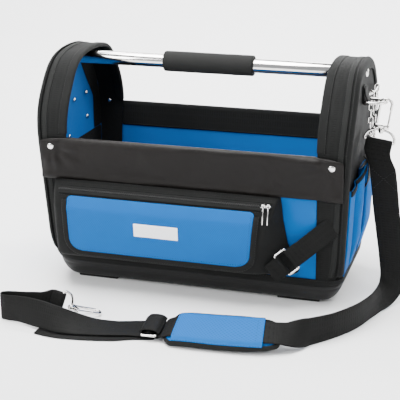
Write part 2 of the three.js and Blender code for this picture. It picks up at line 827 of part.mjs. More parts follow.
function makeEndPockets(end) {
  const grid = (lift) => END_POCKET_RISE.map(([rise, swell]) => END_POCKET.map(([depth, bulge, mouth]) => {
    const z = lerp(end_pocket_bottom, mouthHeight(mouth), rise);
    return endPocketPoint(end, depth, z, lift + bulge * swell * end_pocket_proud);
  }));
  return slab(grid(gap + end_pocket_cloth), grid(gap));
}

// Tape along the mouths of the end pockets.
function makeMouthTape(end) {
  const low = gap + end_pocket_cloth + gap;
  const grid = (lift) => [-edge_tape_width * 0.8, 0].map((drop) => END_POCKET.map(([depth, bulge, mouth]) => (
    endPocketPoint(end, depth, mouthHeight(mouth) + drop, lift + bulge * end_pocket_proud))));
  return slab(grid(low + edge_tape_thickness), grid(low));
}

// Upright webbing loop in the middle of an end: shares of its height and of its bulge.
const LOOP = [
  [0.0, 0.0],
  [0.1, 0.55],
  [0.28, 0.95],
  [0.72, 1.0],
  [0.92, 0.6],
  [1.0, 0.2],
];

function makeSideLoop(end) {
  const low = gap + end_pocket_cloth + gap;
  const half = loop_width / 2;
  const grid = (lift) => LOOP.map(([rise, bulge]) => [-half, half].map((y) => {
    const z = lerp(loop_bottom, loop_top, rise);
    return V(end * (planAt(z).half_length + lift + bulge * loop_proud), y, z);
  }));
  return slab(grid(low + strap_cloth), grid(low));
}

// Handle: the tube, its grip, and a screw with a plug through each end panel.
function lathed(profile, sides) {
  const points = profile.map(([radius, x]) => new THREE.Vector2(radius, x));
  const geometry = new THREE.LatheGeometry(points, sides);
  return toGeometry(toSolid(geometry)).rotateZ(-Math.PI / 2);
}

function makeTube() {
  const bore = tube_bore;
  return lathed([[bore, -tube_half], [tube_radius, -tube_half], [tube_radius, tube_half],
    [bore, tube_half], [bore, -tube_half]], 20).translate(0, 0, tube_height);
}

function makeGrip() {
  const bore = tube_radius + gap * 1.5;
  const half = grip_length / 2;
  const round = (grip_radius - bore) * 0.5;
  return lathed([[bore, -half], [grip_radius - round, -half], [grip_radius, -half + round],
    [grip_radius, half - round], [grip_radius - round, half], [bore, half], [bore, -half]], 20)
    .translate(grip_centre, 0, tube_height);
}

function makeTubeScrew(end) {
  const outside = halfLengthAt(tube_height) + gap;
  const at = (x) => V(end * x, 0, tube_height);
  const head = cylinder(screw_head_radius, at(outside), at(outside + 2.5), 12);
  const shank = cylinder(screw_shank_radius, at(tube_half - 1), at(outside + 1), 12);
  const plug = cylinder(tube_bore - gap * 1.5, at(tube_half - 12), at(tube_half - 0.5), 12);
  return join(head, shank, plug);
}

function makeBoredEndPanel(end) {
  const at = (x) => V(end * x, 0, tube_height);
  const drill = cylinder(screw_shank_radius + gap, at(tube_half - 2), at(tube_half + 10), 12);
  return cut(makeEndPanel(end), drill);
}

// Rivets: a low dome on its own Z.
function makeRivet(radius) {
  const half = rivet_dome * 0.35;
  const profile = [[0, 0], [radius, 0], [radius, half], [radius * 0.6, rivet_dome], [0, rivet_dome]];
  const points = profile.map(([r, h]) => new THREE.Vector2(r, h));
  return toGeometry(toSolid(new THREE.LatheGeometry(points, 10))).rotateX(Math.PI / 2);
}

function addRivet(name, radius, seat, facing) {
  const rivet = add(name, makeRivet(radius), 'chrome');
  rivet.quaternion.setFromUnitVectors(Z_AXIS, facing);
  rivet.position.copy(seat);
}

// Rivets inside the left end: shares of the half depth and of the arch's height.
const INNER_RIVETS = [
  // depth, height
  [-0.17, 0.59],
  [0.07, 0.742],
  [0.45, 0.635],
  [0.47, 0.748],
];

// Rings on webbing tabs, high on each end, and the hook's seat on the right one.
const ring_bar_height = 0.846 * arch_height;
const ring_wall = halfLengthAt(ring_bar_height);
const ring_bar_lift = gap + strap_cloth / 2 + ring_wire / 2 + gap + strap_cloth / 2;
const tab_length = 22;

function ringBar(end) {
  return V(end * (ring_wall + ring_bar_lift), hook_side, ring_bar_height);
}

function makeRingTab(end) {
  const out = X_AXIS.clone().multiplyScalar(end);
  const centres = turnRound(ringBar(end), ring_wire, V(0, 0, -1), out, tab_length);
  return webbing(centres, centres.map(() => Y_AXIS), ring_tab_width, strap_cloth);
}

// D-shaped ring: bar along its own X at the origin, bow out to a reach along its own Z.
function dRingPath(half_bar, reach) {
  const points = [V(1 - half_bar, 0, 0), V(half_bar - 1, 0, 0), V(half_bar, 0, 1)];
  for (let step = 1; step <= 9; step += 1) {
    const angle = step * Math.PI / 10;
    const out = Math.sign(Math.cos(angle)) * Math.abs(Math.cos(angle)) ** 0.65;
    points.push(V(half_bar * out, 0, reach * Math.sin(angle)));
  }
  return [...points, V(-half_bar, 0, 1)];
}

function dRing(half_bar, reach, diameter) {
  return wire(dRingPath(half_bar, reach), diameter, 6, Y_AXIS, true);
}

// The ring is drawn out level where a hook pulls it, and hangs down where none does.
function makeBagRing(end, hangs) {
  const half_bar = ring_tab_width / 2 + 2 * gap + ring_wire / 2;
  const out = hangs ? V(0, 0, -1) : V(end, 0, 0);
  const basis = new THREE.Matrix4().makeBasis(Y_AXIS, V(0, 0, 0).crossVectors(out, Y_AXIS), out);
  return dRing(half_bar, ring_reach, ring_wire).applyMatrix4(basis).translate(...ringBar(end).toArray());
}

// Tape chain: oval links fused where they touch, hung in a loop from a wire hanger.
const chain_lift = hanger_wire + 3.5;
const chain_wall = halfLengthAt(chain_top);
const chain_pitch = link_length - 2 * link_wire + link_bite;
const chain_radius = chain_span / 2;
const chain_straight = chain_drop - chain_radius;
const chain_total = 2 * chain_straight + Math.PI * chain_radius;
const link_count = 2 * Math.floor(chain_total / chain_pitch / 2) + 1;
const first_link = (chain_total - (link_count - 1) * chain_pitch) / 2;
const hanger_bar = chain_top - first_link + link_length / 2 - link_wire - 2 * gap - hanger_wire / 2;

function makeChain() {
  const x = chain_wall + chain_lift;
  const place = (distance) => {
    const angle = clamp((distance - chain_straight) / chain_radius, 0, Math.PI);
    if (angle === 0) return [0, -distance, 0];
    if (angle === Math.PI) return [chain_span, distance - chain_total, angle];
    const low = -chain_straight - chain_radius * Math.sin(angle);
    return [chain_radius * (1 - Math.cos(angle)), low, angle];
  };
  const links = Array.from({ length: link_count }, (_, k) => {
    const [y, drop, turn] = place(first_link + k * chain_pitch);
    const along = V(0, Math.sin(turn), -Math.cos(turn));
    const flat = k % 2 === 0 ? X_AXIS : V(0, 0, 0).crossVectors(along, X_AXIS);
    const centre = V(x, chain_start + y, chain_top + drop);
    const half = link_length / 2 - link_wire / 2;
    const side = link_width / 2 - link_wire / 2;
    const path = Array.from({ length: 10 }, (__, i) => {
      const angle = (i + 0.5) * Math.PI / 5;
      const reach = Math.sign(Math.cos(angle)) * (half - side) + side * Math.cos(angle);
      return moved(moved(centre, along, reach), flat, side * Math.sin(angle));
    });
    return wire(path, link_wire, 5, V(0, 0, 0).crossVectors(along, flat), true);
  });
  return join(...links);
}

function makeHanger() {
  const x = chain_wall + gap + 0.8;
  const bar_x = chain_wall + chain_lift;
  const from = chain_start - 7;
  const to = chain_start + chain_span + 7;
  const path = [V(x, from - 4, hanger_bar), V(bar_x, from, hanger_bar), V(bar_x, to, hanger_bar),
    V(x, to + 4, hanger_bar)];
  return wire(path, hanger_wire, 6, Z_AXIS);
}

ends.forEach(([end, side]) => {
  add(`end_pockets_${side}`, makeEndPockets(end), 'blue_cloth');
  add(`mouth_tape_${side}`, makeMouthTape(end), 'black_cloth');
  add(`side_loop_${side}`, makeSideLoop(end), 'webbing');
  add(`tube_screw_${side}`, makeTubeScrew(end), 'chrome');
  add(`ring_tab_${side}`, makeRingTab(end), 'webbing');
  add(`bag_ring_${side}`, makeBagRing(end, side === 'left'), 'chrome');
  const rivet_seat = wallPoint(-1, end * (collar_half - 8), 0.96 * front_rim_height,
    gap + collar_thickness + gap);
  addRivet(`collar_rivet_${side}`, rivet_radius, rivet_seat, front_normal);
});
INNER_RIVETS.forEach(([depth, height], k) => {
  const z = height * arch_height;
  const seat = V(-(halfLengthAt(z) - wall_cloth - gap), depth * bag_depth / 2, z);
  addRivet(`end_rivet_${k + 1}`, small_rivet_radius, seat, X_AXIS);
});
addRivet('band_rivet', small_rivet_radius, V(-half_rim + band_width * 0.45,
  planAt(back_rim_height).half_depth - wall_cloth - gap * 3, back_rim_height), V(0, -1, 0));
add('handle_tube', makeTube(), 'chrome');
add('foam_grip', makeGrip(), 'foam');
add('tape_chain', makeChain(), 'chrome');
add('chain_hanger', makeHanger(), 'chrome');

// Snap hooks with swivel eyes: the eye's bar along local X, the swivel's axis along local Z.
const eye_half = strap_width / 2 + 2 * gap + eye_wire / 2;
const hook_base = eye_reach + boss_height / 2 + gap;
const gate_side = hook_width / 2 - hook_wire / 2;
const gate_pivot = hook_base + 3.2;
const shoulder_height = 5.2;
const tip_height = hook_base + hook_length * gate_share;
const ring_seat = hook_base + hook_length - hook_wire - gap - ring_wire / 2;

function makeEye() {
  const boss = cylinder(boss_radius, V(0, 0, eye_reach - boss_height / 2),
    V(0, 0, eye_reach + boss_height / 2), 12);
  const bore = cylinder(pin_radius + gap, V(0, 0, eye_reach - boss_height),
    V(0, 0, eye_reach + boss_height), 12);
  return cut(join(dRing(eye_half, eye_reach, eye_wire), boss), bore);
}

function makeHook() {
  const depth = gate_wire + 4 * gap + 2;
  const shoulder = new THREE.BoxGeometry(hook_width, depth, shoulder_height);
  shoulder.translate(0, 0, hook_base + shoulder_height / 2);
  const head_top = eye_reach - boss_height / 2 - gap;
  const pin = cylinder(pin_radius, V(0, 0, head_top - 1), V(0, 0, hook_base + 1), 10);
  const head = cylinder(boss_radius * 0.7, V(0, 0, head_top - 2), V(0, 0, head_top), 10);
  const arc_centre = hook_base + hook_length - hook_wire / 2 - gate_side;
  const path = [V(-gate_side, 0, hook_base + 2), V(-gate_side, 0, arc_centre - 6)];
  for (let step = 0; step <= 8; step += 1) {
    const angle = Math.PI - step * Math.PI / 8;
    path.push(V(gate_side * Math.cos(angle), 0, arc_centre + gate_side * Math.sin(angle)));
  }
  path.push(V(gate_side, 0, tip_height + gap));
  const body = join(shoulder, pin, head, wire(path, hook_wire, 8, Y_AXIS));
  const slot = new THREE.BoxGeometry(hook_wire * 2, gate_wire + 2 * gap, shoulder_height);
  slot.translate(gate_side + 1, 0, hook_base + 1.2 + shoulder_height / 2);
  const hole = cylinder(0.9 + gap, V(gate_side, -depth, gate_pivot), V(gate_side, depth, gate_pivot), 10);
  return cut(body, slot, hole);
}

// The gate with its pin at the origin.
function makeGate() {
  const half = (gate_wire + 4 * gap + 2) / 2;
  const bar = cylinder(gate_wire / 2, V(0, 0, -gate_wire / 2), V(0, 0, tip_height - gate_pivot - gap), 8);
  return join(bar, cylinder(0.9, V(0, -half, 0), V(0, half, 0), 8));
}

function addHook(name, origin, across, axis, spin) {
  const group = new THREE.Group();
  const depth = V(0, 0, 0).crossVectors(axis, across);
  group.quaternion.setFromRotationMatrix(new THREE.Matrix4().makeBasis(across, depth, axis));
  group.position.copy(origin);
  bag.add(group);
  add(`swivel_eye_${name}`, makeEye(), 'chrome', group);
  const turned = new THREE.Group();
  turned.rotation.z = spin;
  group.add(turned);
  add(`snap_hook_${name}`, makeHook(), 'chrome', turned);
  add(`hook_gate_${name}`, makeGate(), 'chrome', turned).position.set(gate_side, 0, gate_pivot);
}

// The clipped hook hangs from the right ring, leaning out a little.
const clipped_lean = degToRad(8);
const clipped_axis = V(Math.sin(clipped_lean), 0, Math.cos(clipped_lean));
const clipped_across = V(Math.cos(clipped_lean), 0, -Math.sin(clipped_lean));
const clipped_eye = moved(moved(ringBar(1), X_AXIS, ring_reach), clipped_axis, -ring_seat);
addHook('clipped', clipped_eye, clipped_across, clipped_axis, 0);

// The free hook lies in front of the bag, its nose on the floor.
const free_heading = degToRad(43);
const free_drop = degToRad(19.8);
const free_axis = V(Math.cos(free_drop) * Math.cos(free_heading),
  Math.cos(free_drop) * Math.sin(free_heading), -Math.sin(free_drop));
const free_across = V(Math.sin(free_drop) * Math.cos(free_heading),
  Math.sin(free_drop) * Math.sin(free_heading), Math.cos(free_drop));
const eye_depths = dRingPath(eye_half, eye_reach).map(({ x, z }) => (
  x * Math.cos(free_drop) + z * Math.sin(free_drop)));
const free_eye = V(-0.636 * half_rim, -0.859 * strap_reach,
  Math.max(...eye_depths) + eye_wire / 2 + floor_gap);
addHook('free', free_eye, free_across, free_axis, Math.PI / 2);

// Route of the shoulder strap's middle line. The turn is the plan direction from its lower edge
// to its upper edge and the lean is that edge's angle to the floor, both in degrees. Places are
// shares of the bag's half length and of the strap's reach in front.
const HANGING = [
  // along, out, height as a share of the clipped eye's, turn, lean
  [1.15, -0.1, 0.85, 180, 6],
  [1.168, -0.104, 0.734, 180, 2],
  [1.19, -0.108, 0.573, 180, 0],
  [1.219, -0.112, 0.404, 180, 0],
  [1.246, -0.124, 0.2385, 180, 6],
  [1.253, -0.156, 0.1285, 180, 28],
];
const LYING = [
  // along, out, rise over the floor as a share of the strap's width, turn, lean
  [1.231, -0.228, 0.08, 172, 58],
  [1.204, -0.317, 0.01, 165, 80],
  [1.173, -0.414, 0.0, 158, 90],
  [1.111, -0.552, 0.0, 150, 90],
  [1.004, -0.686, 0.0, 140, 90],
  [0.889, -0.779, 0.0, 128, 82],
  [0.836, -0.817, 0.08, 117, 55],
  [0.782, -0.848, 0.245, 107, 33],
  [0.724, -0.867, 0.37, 100, 25],
  [0.4, -0.9, 0.37, 93, 25],
  [0.133, -0.903, 0.33, 90, 22],
  [0.056, -0.892, 0.2, 89, 18],
  [0.018, -0.882, 0.085, 88, 13],
  [-0.027, -0.88, 0.27, 88, 13],
  [-0.076, -0.88, 0.085, 88, 13],
  [-0.156, -0.886, 0.08, 88, 9],
  [-0.267, -0.91, 0.08, 88, 8],
  [-0.4, -0.934, 0.08, 90, 13],
  [-0.511, -0.955, 0.08, 92, 28],
  [-0.6, -0.966, 0.08, 94, 45],
  [-0.733, -0.955, 0.08, 97, 66],
  [-0.867, -0.931, 0.04, 100, 85],
  [-0.96, -0.92, 0.0, 104, 90],
  [-1.0, -0.908, 0.0, 104, 90],
  [-1.003, -0.888, 0.0, 104, 90],
  [-0.973, -0.874, 0.0, 104, 90],
  [-0.867, -0.873, 0.03, 80, 84],
  [-0.756, -0.866, 0.08, 55, 76],
];

function strapRoute() {
  const hanging = HANGING.map(([along, out, height, turn, lean]) => (
    { centre: V(along * half_rim, out * strap_reach, height * clipped_eye.z), turn, lean }));
  const lying = LYING.map(([along, out, rise, turn, lean]) => {
    const slope = degToRad(lean);
    const z = floor_gap + rise * strap_width + Math.sin(slope) * strap_width / 2
      + Math.cos(slope) * strap_cloth / 2;
    return { centre: V(along * half_rim, out * strap_reach, z), turn, lean };
  });
  return [...hanging, ...lying];
}

const route = strapRoute();
const route_line = new THREE.CatmullRomCurve3(route.map((row) => row.centre), false, 'centripetal');

function direction(turn, lean) {
  const [heading, slope] = [degToRad(turn), degToRad(lean)];
  return V(Math.cos(slope) * Math.cos(heading), Math.cos(slope) * Math.sin(heading), Math.sin(slope));
}

// Middle, width direction and face direction of the strap at a place along its route's rows.
function strapFrame(place) {
  const row = clamp(Math.floor(place), 0, route.length - 2);
  const share = place - row;
  const turn = lerp(route[row].turn, route[row + 1].turn, share);
  const lean = lerp(route[row].lean, route[row + 1].lean, share);
  const t = place / (route.length - 1);
  const across = direction(turn, lean);
  const along = route_line.getTangent(t);
  const face = V(0, 0, 0).crossVectors(across, along).normalize();
  return { centre: route_line.getPoint(t), across, face, along };
}

function makeStrap() {
  const steps = 2;
  const centres = [];
  const across = [];
  const top_across = clipped_across.clone().negate();
  const leg = 18;
  turnRound(clipped_eye, eye_wire, clipped_axis, V(0, 1, 0), leg).reverse().forEach((point) => {
    centres.push(point);
    across.push(top_across);
  });
  for (let k = 0; k <= (route.length - 1) * steps; k += 1) {
    const frame = strapFrame(k / steps);
    centres.push(frame.centre);
    across.push(frame.across);
  }
  const toward = V(1, 0.1, 0);
  toward.addScaledVector(free_across, -toward.dot(free_across)).normalize();
  const side = V(0, 0, 0).crossVectors(toward, free_across).normalize();
  turnRound(free_eye, eye_wire, toward, side, leg).forEach((point) => {
    centres.push(point);
    across.push(free_across);
  });
  return webbing(centres, across, strap_width, strap_cloth);
}

// Rows of the route that the pad, the sleeve and the slider are tied to.
const first_lying = HANGING.length;
const pad_start = first_lying + 7.75;
const pad_end = first_lying + 11.15;
const slider_row = first_lying + 13;

// Pad: shares of its length along the route and of its width.
const PAD = [
  [0.0, 0.3],
  [0.05, 0.62],
  [0.13, 0.86],
  [0.25, 1.0],
  [0.6, 1.0],
  [0.76, 0.98],
  [0.88, 0.78],
  [0.95, 0.6],
  [1.0, 0.3],
];

function makePad() {
  const top = strap_cloth / 2 + 3 * gap;
  const grid = (depth) => PAD.map(([share, width]) => {
    const frame = strapFrame(lerp(pad_start, pad_end, share));
    const middle = moved(frame.centre, frame.face, -depth);
    return [-1, 0, 1].map((side) => moved(middle, frame.across, side * width * pad_width / 2));
  });
  return slab(grid(top), grid(top + pad_thickness));
}

// Sleeve over the strap, stitched to the pad on both sides of it.
function makeSleeve() {
  const over = strap_cloth / 2 + 2 * gap;
  const under = -strap_cloth / 2 - gap;
  const half = strap_width / 2;
  const section = [[-half - 7, under], [-half - 1.5, over], [half + 1.5, over], [half + 7, under]];
  const grid = (lift) => [0.16, 0.27, 0.38, 0.49, 0.6, 0.7].map((share) => {
    const frame = strapFrame(lerp(pad_start, pad_end, share));
    return section.map(([side, rise]) => moved(moved(frame.centre, frame.across, side), frame.face, rise + lift));
  });
  return slab(grid(sleeve_thickness), grid(0));
}

function makeSlider() {
  const frame = strapFrame(slider_row);
  const clear = strap_cloth / 2 + gap + slider_wire / 2;
  const half_x = (slider_length - slider_wire) / 2;
  const half_y = strap_width / 2 + slider_slack + slider_wire / 2;
  const bar = cylinder(slider_wire / 2, V(0, -half_y, 0), V(0, half_y, 0), 8);
  const ring = rectangleRing(half_x, half_y, slider_wire);
  const along = V(0, 0, 0).crossVectors(frame.across, frame.face);
  const basis = new THREE.Matrix4().makeBasis(along, frame.across, frame.face);
  return join(ring, bar).applyMatrix4(basis)
    .translate(...moved(frame.centre, frame.face, -clear).toArray());
}

// Loose tail of the strap, flat on the floor under the left stretch.
const TAIL = [
  // along, out
  [0.0, -0.872],
  [-0.13, -0.903],
  [-0.23, -0.938],
  [-0.4, -0.969],
  [-0.58, -0.983],
  [-0.72, -0.966],
];

function makeTail() {
  const centres = TAIL.map(([along, out]) => (
    V(along * half_rim, out * strap_reach, floor_gap + strap_cloth / 2)));
  return webbing(centres, centres.map(() => Y_AXIS), strap_width, strap_cloth);
}

add('shoulder_strap', makeStrap(), 'webbing');
add('strap_tail', makeTail(), 'webbing');
add('strap_slider', makeSlider(), 'chrome');
add('strap_pad', makePad(), 'black_cloth');
add('pad_sleeve', makeSleeve(), 'blue_cloth');

export default bag;
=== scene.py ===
"""Looks of an open tool bag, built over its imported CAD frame: cloth, webbing, tube, rings and hooks.

Tables are in millimetres, in the frame of the CAD part, and shapes are scaled to metres as they are made.
"""

import math

import bmesh
import bpy
from bpy.props import FloatProperty, FloatVectorProperty, PointerProperty
from mathutils import Matrix, Vector, noise


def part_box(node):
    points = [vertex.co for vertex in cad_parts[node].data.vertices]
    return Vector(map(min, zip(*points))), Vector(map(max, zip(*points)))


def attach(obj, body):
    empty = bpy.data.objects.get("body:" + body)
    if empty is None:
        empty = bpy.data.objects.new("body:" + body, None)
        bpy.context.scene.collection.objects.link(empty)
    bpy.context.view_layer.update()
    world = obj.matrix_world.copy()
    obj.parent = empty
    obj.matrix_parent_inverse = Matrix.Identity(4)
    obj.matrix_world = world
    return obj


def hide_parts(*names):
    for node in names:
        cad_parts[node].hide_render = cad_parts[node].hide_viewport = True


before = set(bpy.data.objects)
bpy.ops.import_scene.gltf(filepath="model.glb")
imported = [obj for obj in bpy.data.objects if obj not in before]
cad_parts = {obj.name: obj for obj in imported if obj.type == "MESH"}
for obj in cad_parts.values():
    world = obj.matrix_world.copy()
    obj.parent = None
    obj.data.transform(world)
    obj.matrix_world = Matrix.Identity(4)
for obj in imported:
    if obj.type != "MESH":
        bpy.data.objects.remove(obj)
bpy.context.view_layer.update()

bl_info = {
    "name": "Tool bag",
    "version": (1, 0, 0),
    "blender": (4, 5, 0),
    "location": "View3D > Sidebar > Tool bag",
    "description": "Open tool bag with a tube handle, pockets and a shoulder strap",
    "category": "Object",
}

MM = 0.001
X, Y, Z = Vector((1, 0, 0)), Vector((0, 1, 0)), Vector((0, 0, 1))

# Sizes shared with the CAD part, in millimetres.
BAG_LENGTH, BAG_DEPTH = 450, 240
BASE_LENGTH, BASE_DEPTH = 434, 200
FRONT_RIM, BACK_RIM, ARCH_TOP = 222, 228, 338
TRAY_HEIGHT, TRAY_CORNER, WALL_BOTTOM = 32, 34, 32.3
SEAM_RADIUS, CORNER_FADE, ARCH_SWELL = 5, 50, 2
WALL = 3
GAP = 0.3
BAND_EDGE, WALL_LAP = 183, 1.4
COLLAR_HALF, FOLD_HALF, BACK_FOLD_HALF = 220, 180.5, 182.8
TUBE_HEIGHT, TUBE_RADIUS, TUBE_BORE, TUBE_HALF = 321, 10, 8.4, 221.5
STRAP_WIDTH, STRAP_CLOTH, STRAP_REACH, HALF_RIM = 38, 2, 290, 225
WALL_SLOPE = (BAG_DEPTH - BASE_DEPTH) / 2 / (BACK_RIM - TRAY_HEIGHT)
FRONT_NORMAL = Vector((0, -1, -WALL_SLOPE)).normalized()


def lerp(a, b, t):
    return a + (b - a) * t


def clamp(x, low=0.0, high=1.0):
    return max(low, min(high, x))


def smooth(t):
    t = clamp(t)
    return t * t * (3 - 2 * t)


def ripple(x, y, z, size, height):
    """Gentle unevenness of cloth at a point, from smooth noise."""
    return height * noise.noise(Vector((x, y, z)) / size)


def bump_at(x, centre, half_width):
    """1 at the centre, falling softly to 0 at the half width."""
    return smooth(1 - abs(x - centre) / half_width)


def table_at(rows, x, column):
    """Value of a column at x, on straight lines between the rows; the first column holds x."""
    if x <= rows[0][0]:
        return rows[0][column]
    for low, high in zip(rows, rows[1:]):
        if x <= high[0]:
            return lerp(low[column], high[column], (x - low[0]) / (high[0] - low[0]))
    return rows[-1][column]


# Making meshes

def finish_piece(obj, finish_names, body, nodes=()):
    """Give a finished piece its materials and its body, and hide the CAD nodes it stands for."""
    for name in finish_names:
        obj.data.materials.append(finishes[name])
    obj.data.shade_smooth()
    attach(obj, body)
    if nodes:
        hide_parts(*nodes)
    return obj


def to_object(name, bm):
    """An object at the origin from a bmesh in millimetres."""
    bmesh.ops.scale(bm, vec=(MM, MM, MM), verts=bm.verts)
    mesh = bpy.data.meshes.new(name)
    bm.to_mesh(mesh)
    bm.free()
    obj = bpy.data.objects.new(name, mesh)
    bpy.context.scene.collection.objects.link(obj)
    return obj


def surface(bm, columns, rows, place, size, weld=False):
    """A grid laid over place(u, v, lift), facing the way that lift grows, with UVs in metres."""
    made = bmesh.ops.create_grid(bm, x_segments=columns, y_segments=rows, size=0.5)
    verts = made["verts"]
    at = {v: (v.co.x + 0.5, v.co.y + 0.5) for v in verts}
    uv = bm.loops.layers.uv.verify()
    faces = {f for v in verts for f in v.link_faces}
    for face in faces:
        for loop in face.loops:
            u, v = at[loop.vert]
            loop[uv].uv = (u * size[0] * MM, v * size[1] * MM)
    for vert in verts:
        u, v = at[vert]
        vert.co = place(u, v, 0.0)
    face = max(faces, key=lambda f: f.calc_area())
    u = sum(at[v][0] for v in face.verts) / len(face.verts)
    v = sum(at[v][1] for v in face.verts) / len(face.verts)
    face.normal_update()
    if face.normal.dot(Vector(place(u, v, 1.0)) - Vector(place(u, v, 0.0))) < 0:
        bmesh.ops.reverse_faces(bm, faces=list(faces))
    if weld:
        bmesh.ops.remove_doubles(bm, verts=verts, dist=0.01)
    return verts


def thicken(obj, thickness, offset=-1, back=0):
    """Give a sheet its thickness, with soft edges; back is the material of its other face."""
    wall = obj.modifiers.new("Thickness", "SOLIDIFY")
    wall.thickness = thickness * MM
    wall.offset = offset
    wall.material_offset = back
    soften(obj)


def soften(obj):
    subdivision = obj.modifiers.new("Softness", "SUBSURF")
    subdivision.levels = subdivision.render_levels = 1


def cloth(name, columns, rows, place, size, thickness, finish_names, nodes=(), offset=-1):
    """Cloth over place(u, v, lift): size is its width along u and v, a second finish is for its back."""
    bm = bmesh.new()
    surface(bm, columns, rows, place, size)
    obj = to_object(name, bm)
    thicken(obj, thickness, offset, back=len(finish_names) - 1)
    return finish_piece(obj, finish_names, "bag", nodes)


def path_frames(path, side, closed):
    """Points of a path with the two directions across it."""
    frames = []
    count = len(path)
    for k, point in enumerate(path):
        before = path[(k - 1) % count if closed else max(k - 1, 0)]
        after = path[(k + 1) % count if closed else min(k + 1, count - 1)]
        along = (after - before).normalized()
        v = along.cross(side).normalized()
        frames.append((point, v.cross(along), v))
    return frames


def add_tube(bm, path, radius, side, closed=False, sides=12, flat=1.0):
    """A round wire along a path; flat squeezes it along the second direction."""
    frames = path_frames(path, side, closed)
    count = len(frames)
    steps = count if closed else count - 1

    def place(u, v, lift):
        point, a, b = frames[min(round(u * steps), steps) % count]
        angle = 2 * math.pi * v
        return point + a * math.cos(angle) * (radius + lift) + b * math.sin(angle) * (radius * flat + lift)

    length = sum((b[0] - a[0]).length for a, b in zip(frames, frames[1:]))
    verts = surface(bm, steps, sides, place, (length, 20), weld=True)
    if not closed:
        edges = {e for v in verts if v.is_valid for e in v.link_edges if e.is_boundary}
        if edges:
            bmesh.ops.holes_fill(bm, edges=list(edges), sides=0)


def add_turned(bm, profile, centre, axis, steps=24):
    """A shape turned round an axis, from (radius, distance along it) pairs."""
    side = axis.orthogonal().normalized()
    verts = [bm.verts.new(centre + side * r + axis * h) for r, h in profile]
    edges = [bm.edges.new(pair) for pair in zip(verts, verts[1:])]
    bmesh.ops.spin(bm, geom=verts + edges, cent=centre, axis=axis, angle=2 * math.pi, steps=steps,
                   use_merge=True)
    bmesh.ops.remove_doubles(bm, verts=bm.verts, dist=0.005)


def add_block(bm, size, matrix, edge=0.4, segments=2):
    """A block with rounded edges, placed by a matrix."""
    made = bmesh.ops.create_cube(bm, size=1.0)
    verts = made["verts"]
    bmesh.ops.scale(bm, vec=size, verts=verts)
    edges = list({e for v in verts for e in v.link_edges})
    bevelled = bmesh.ops.bevel(bm, geom=edges, offset=edge, offset_type="OFFSET", segments=segments,
                               profile=0.5, affect="EDGES", material=-1)
    verts = list({v for f in bevelled["faces"] for v in f.verts})
    bmesh.ops.transform(bm, matrix=matrix, verts=verts)
    return verts


def catmull(points, per_span):
    """Points on a centripetal curve through the given ones."""
    ends = [2 * points[0] - points[1], *points, 2 * points[-1] - points[-2]]
    made = []
    for a, b, c, d in zip(ends, ends[1:], ends[2:], ends[3:]):
        first, middle, last = (max((q - p).length ** 0.5, 0.001) for p, q in ((a, b), (b, c), (c, d)))
        start = ((b - a) / first - (c - a) / (first + middle) + (c - b) / middle) * middle
        stop = ((c - b) / middle - (d - b) / (middle + last) + (d - c) / last) * middle
        for k in range(per_span):
            t = k / per_span
            made.append(b + start * t + (3 * (c - b) - 2 * start - stop) * t ** 2
                        + (2 * (b - c) + start + stop) * t ** 3)
    return [*made, points[-1].copy()]


def resample(points, count):
    """Evenly spaced points along a line of points."""
    lengths = [0.0]
    for a, b in zip(points, points[1:]):
        lengths.append(lengths[-1] + (b - a).length)
    made, k = [], 0
    for i in range(count + 1):
        want = lengths[-1] * i / count
        while k < len(points) - 2 and lengths[k + 1] < want:
            k += 1
        span = lengths[k + 1] - lengths[k] or 1
        made.append(points[k].lerp(points[k + 1], clamp((want - lengths[k]) / span)))
    return made


def ribbon(name, rows, width, thickness, nodes=()):
    """Webbing along rows of (centre, across)."""
    centres = [row[0] for row in rows]
    steps = len(rows) - 1
    length = sum((b - a).length for a, b in zip(centres, centres[1:]))
    faces = []
    for k, (centre, across) in enumerate(rows):
        along = centres[min(k + 1, steps)] - centres[max(k - 1, 0)]
        faces.append(along.cross(across).normalized())

    def place(u, v, lift):
        k = round(u * steps)
        centre, across = rows[k]
        return centre + across * (v - 0.5) * width + faces[k] * lift

    return cloth(name, steps, 6, place, (length, width), thickness, ["webbing"], nodes, offset=0)


def plate(name, bm, node, body="bag"):
    """A finished piece of bright metal."""
    return finish_piece(to_object(name, bm), ["chrome"], body, [node])


def plate_turned(name, bm, node, body="bag", sharp=None):
    """Bright metal with its faces turned outwards; edges past the sharp angle, in degrees, stay hard."""
    bmesh.ops.recalc_face_normals(bm, faces=bm.faces)
    obj = plate(name, bm, node, body)
    if sharp:
        obj.data.set_sharp_from_angle(angle=math.radians(sharp))


# Materials

def add_node(tree, kind, settings=(), **inputs):
    """A node with its settings, and its inputs set or linked; names use _ for a space."""
    node = tree.nodes.new(kind)
    for key, value in dict(settings).items():
        setattr(node, key, value)
    for key, value in inputs.items():
        socket = node.inputs[int(key[1:])] if key[0] == "i" and key[1:].isdigit() else (
            node.inputs[key.replace("_", " ")])
        if isinstance(value, bpy.types.NodeSocket):
            tree.links.new(value, socket)
        else:
            socket.default_value = value
    return node


def maths(tree, operation, a, b=0.0):
    return add_node(tree, "ShaderNodeMath", {"operation": operation}, i0=a, i1=b).outputs[0]


def new_group(name, inputs, outputs):
    """A shader group with named sockets; returns it with its input and output nodes."""
    tree = bpy.data.node_groups.new(name, "ShaderNodeTree")
    for label, kind, value in inputs:
        socket = tree.interface.new_socket(name=label, in_out="INPUT", socket_type=kind)
        if value is not None:
            socket.default_value = value
    for label in outputs:
        tree.interface.new_socket(name=label, in_out="OUTPUT", socket_type="NodeSocketFloat")
    return tree, tree.nodes.new("NodeGroupInput"), tree.nodes.new("NodeGroupOutput")


VECTOR_IN = ("Vector", "NodeSocketVector", None)


def float_in(label, value):
    return label, "NodeSocketFloat", value


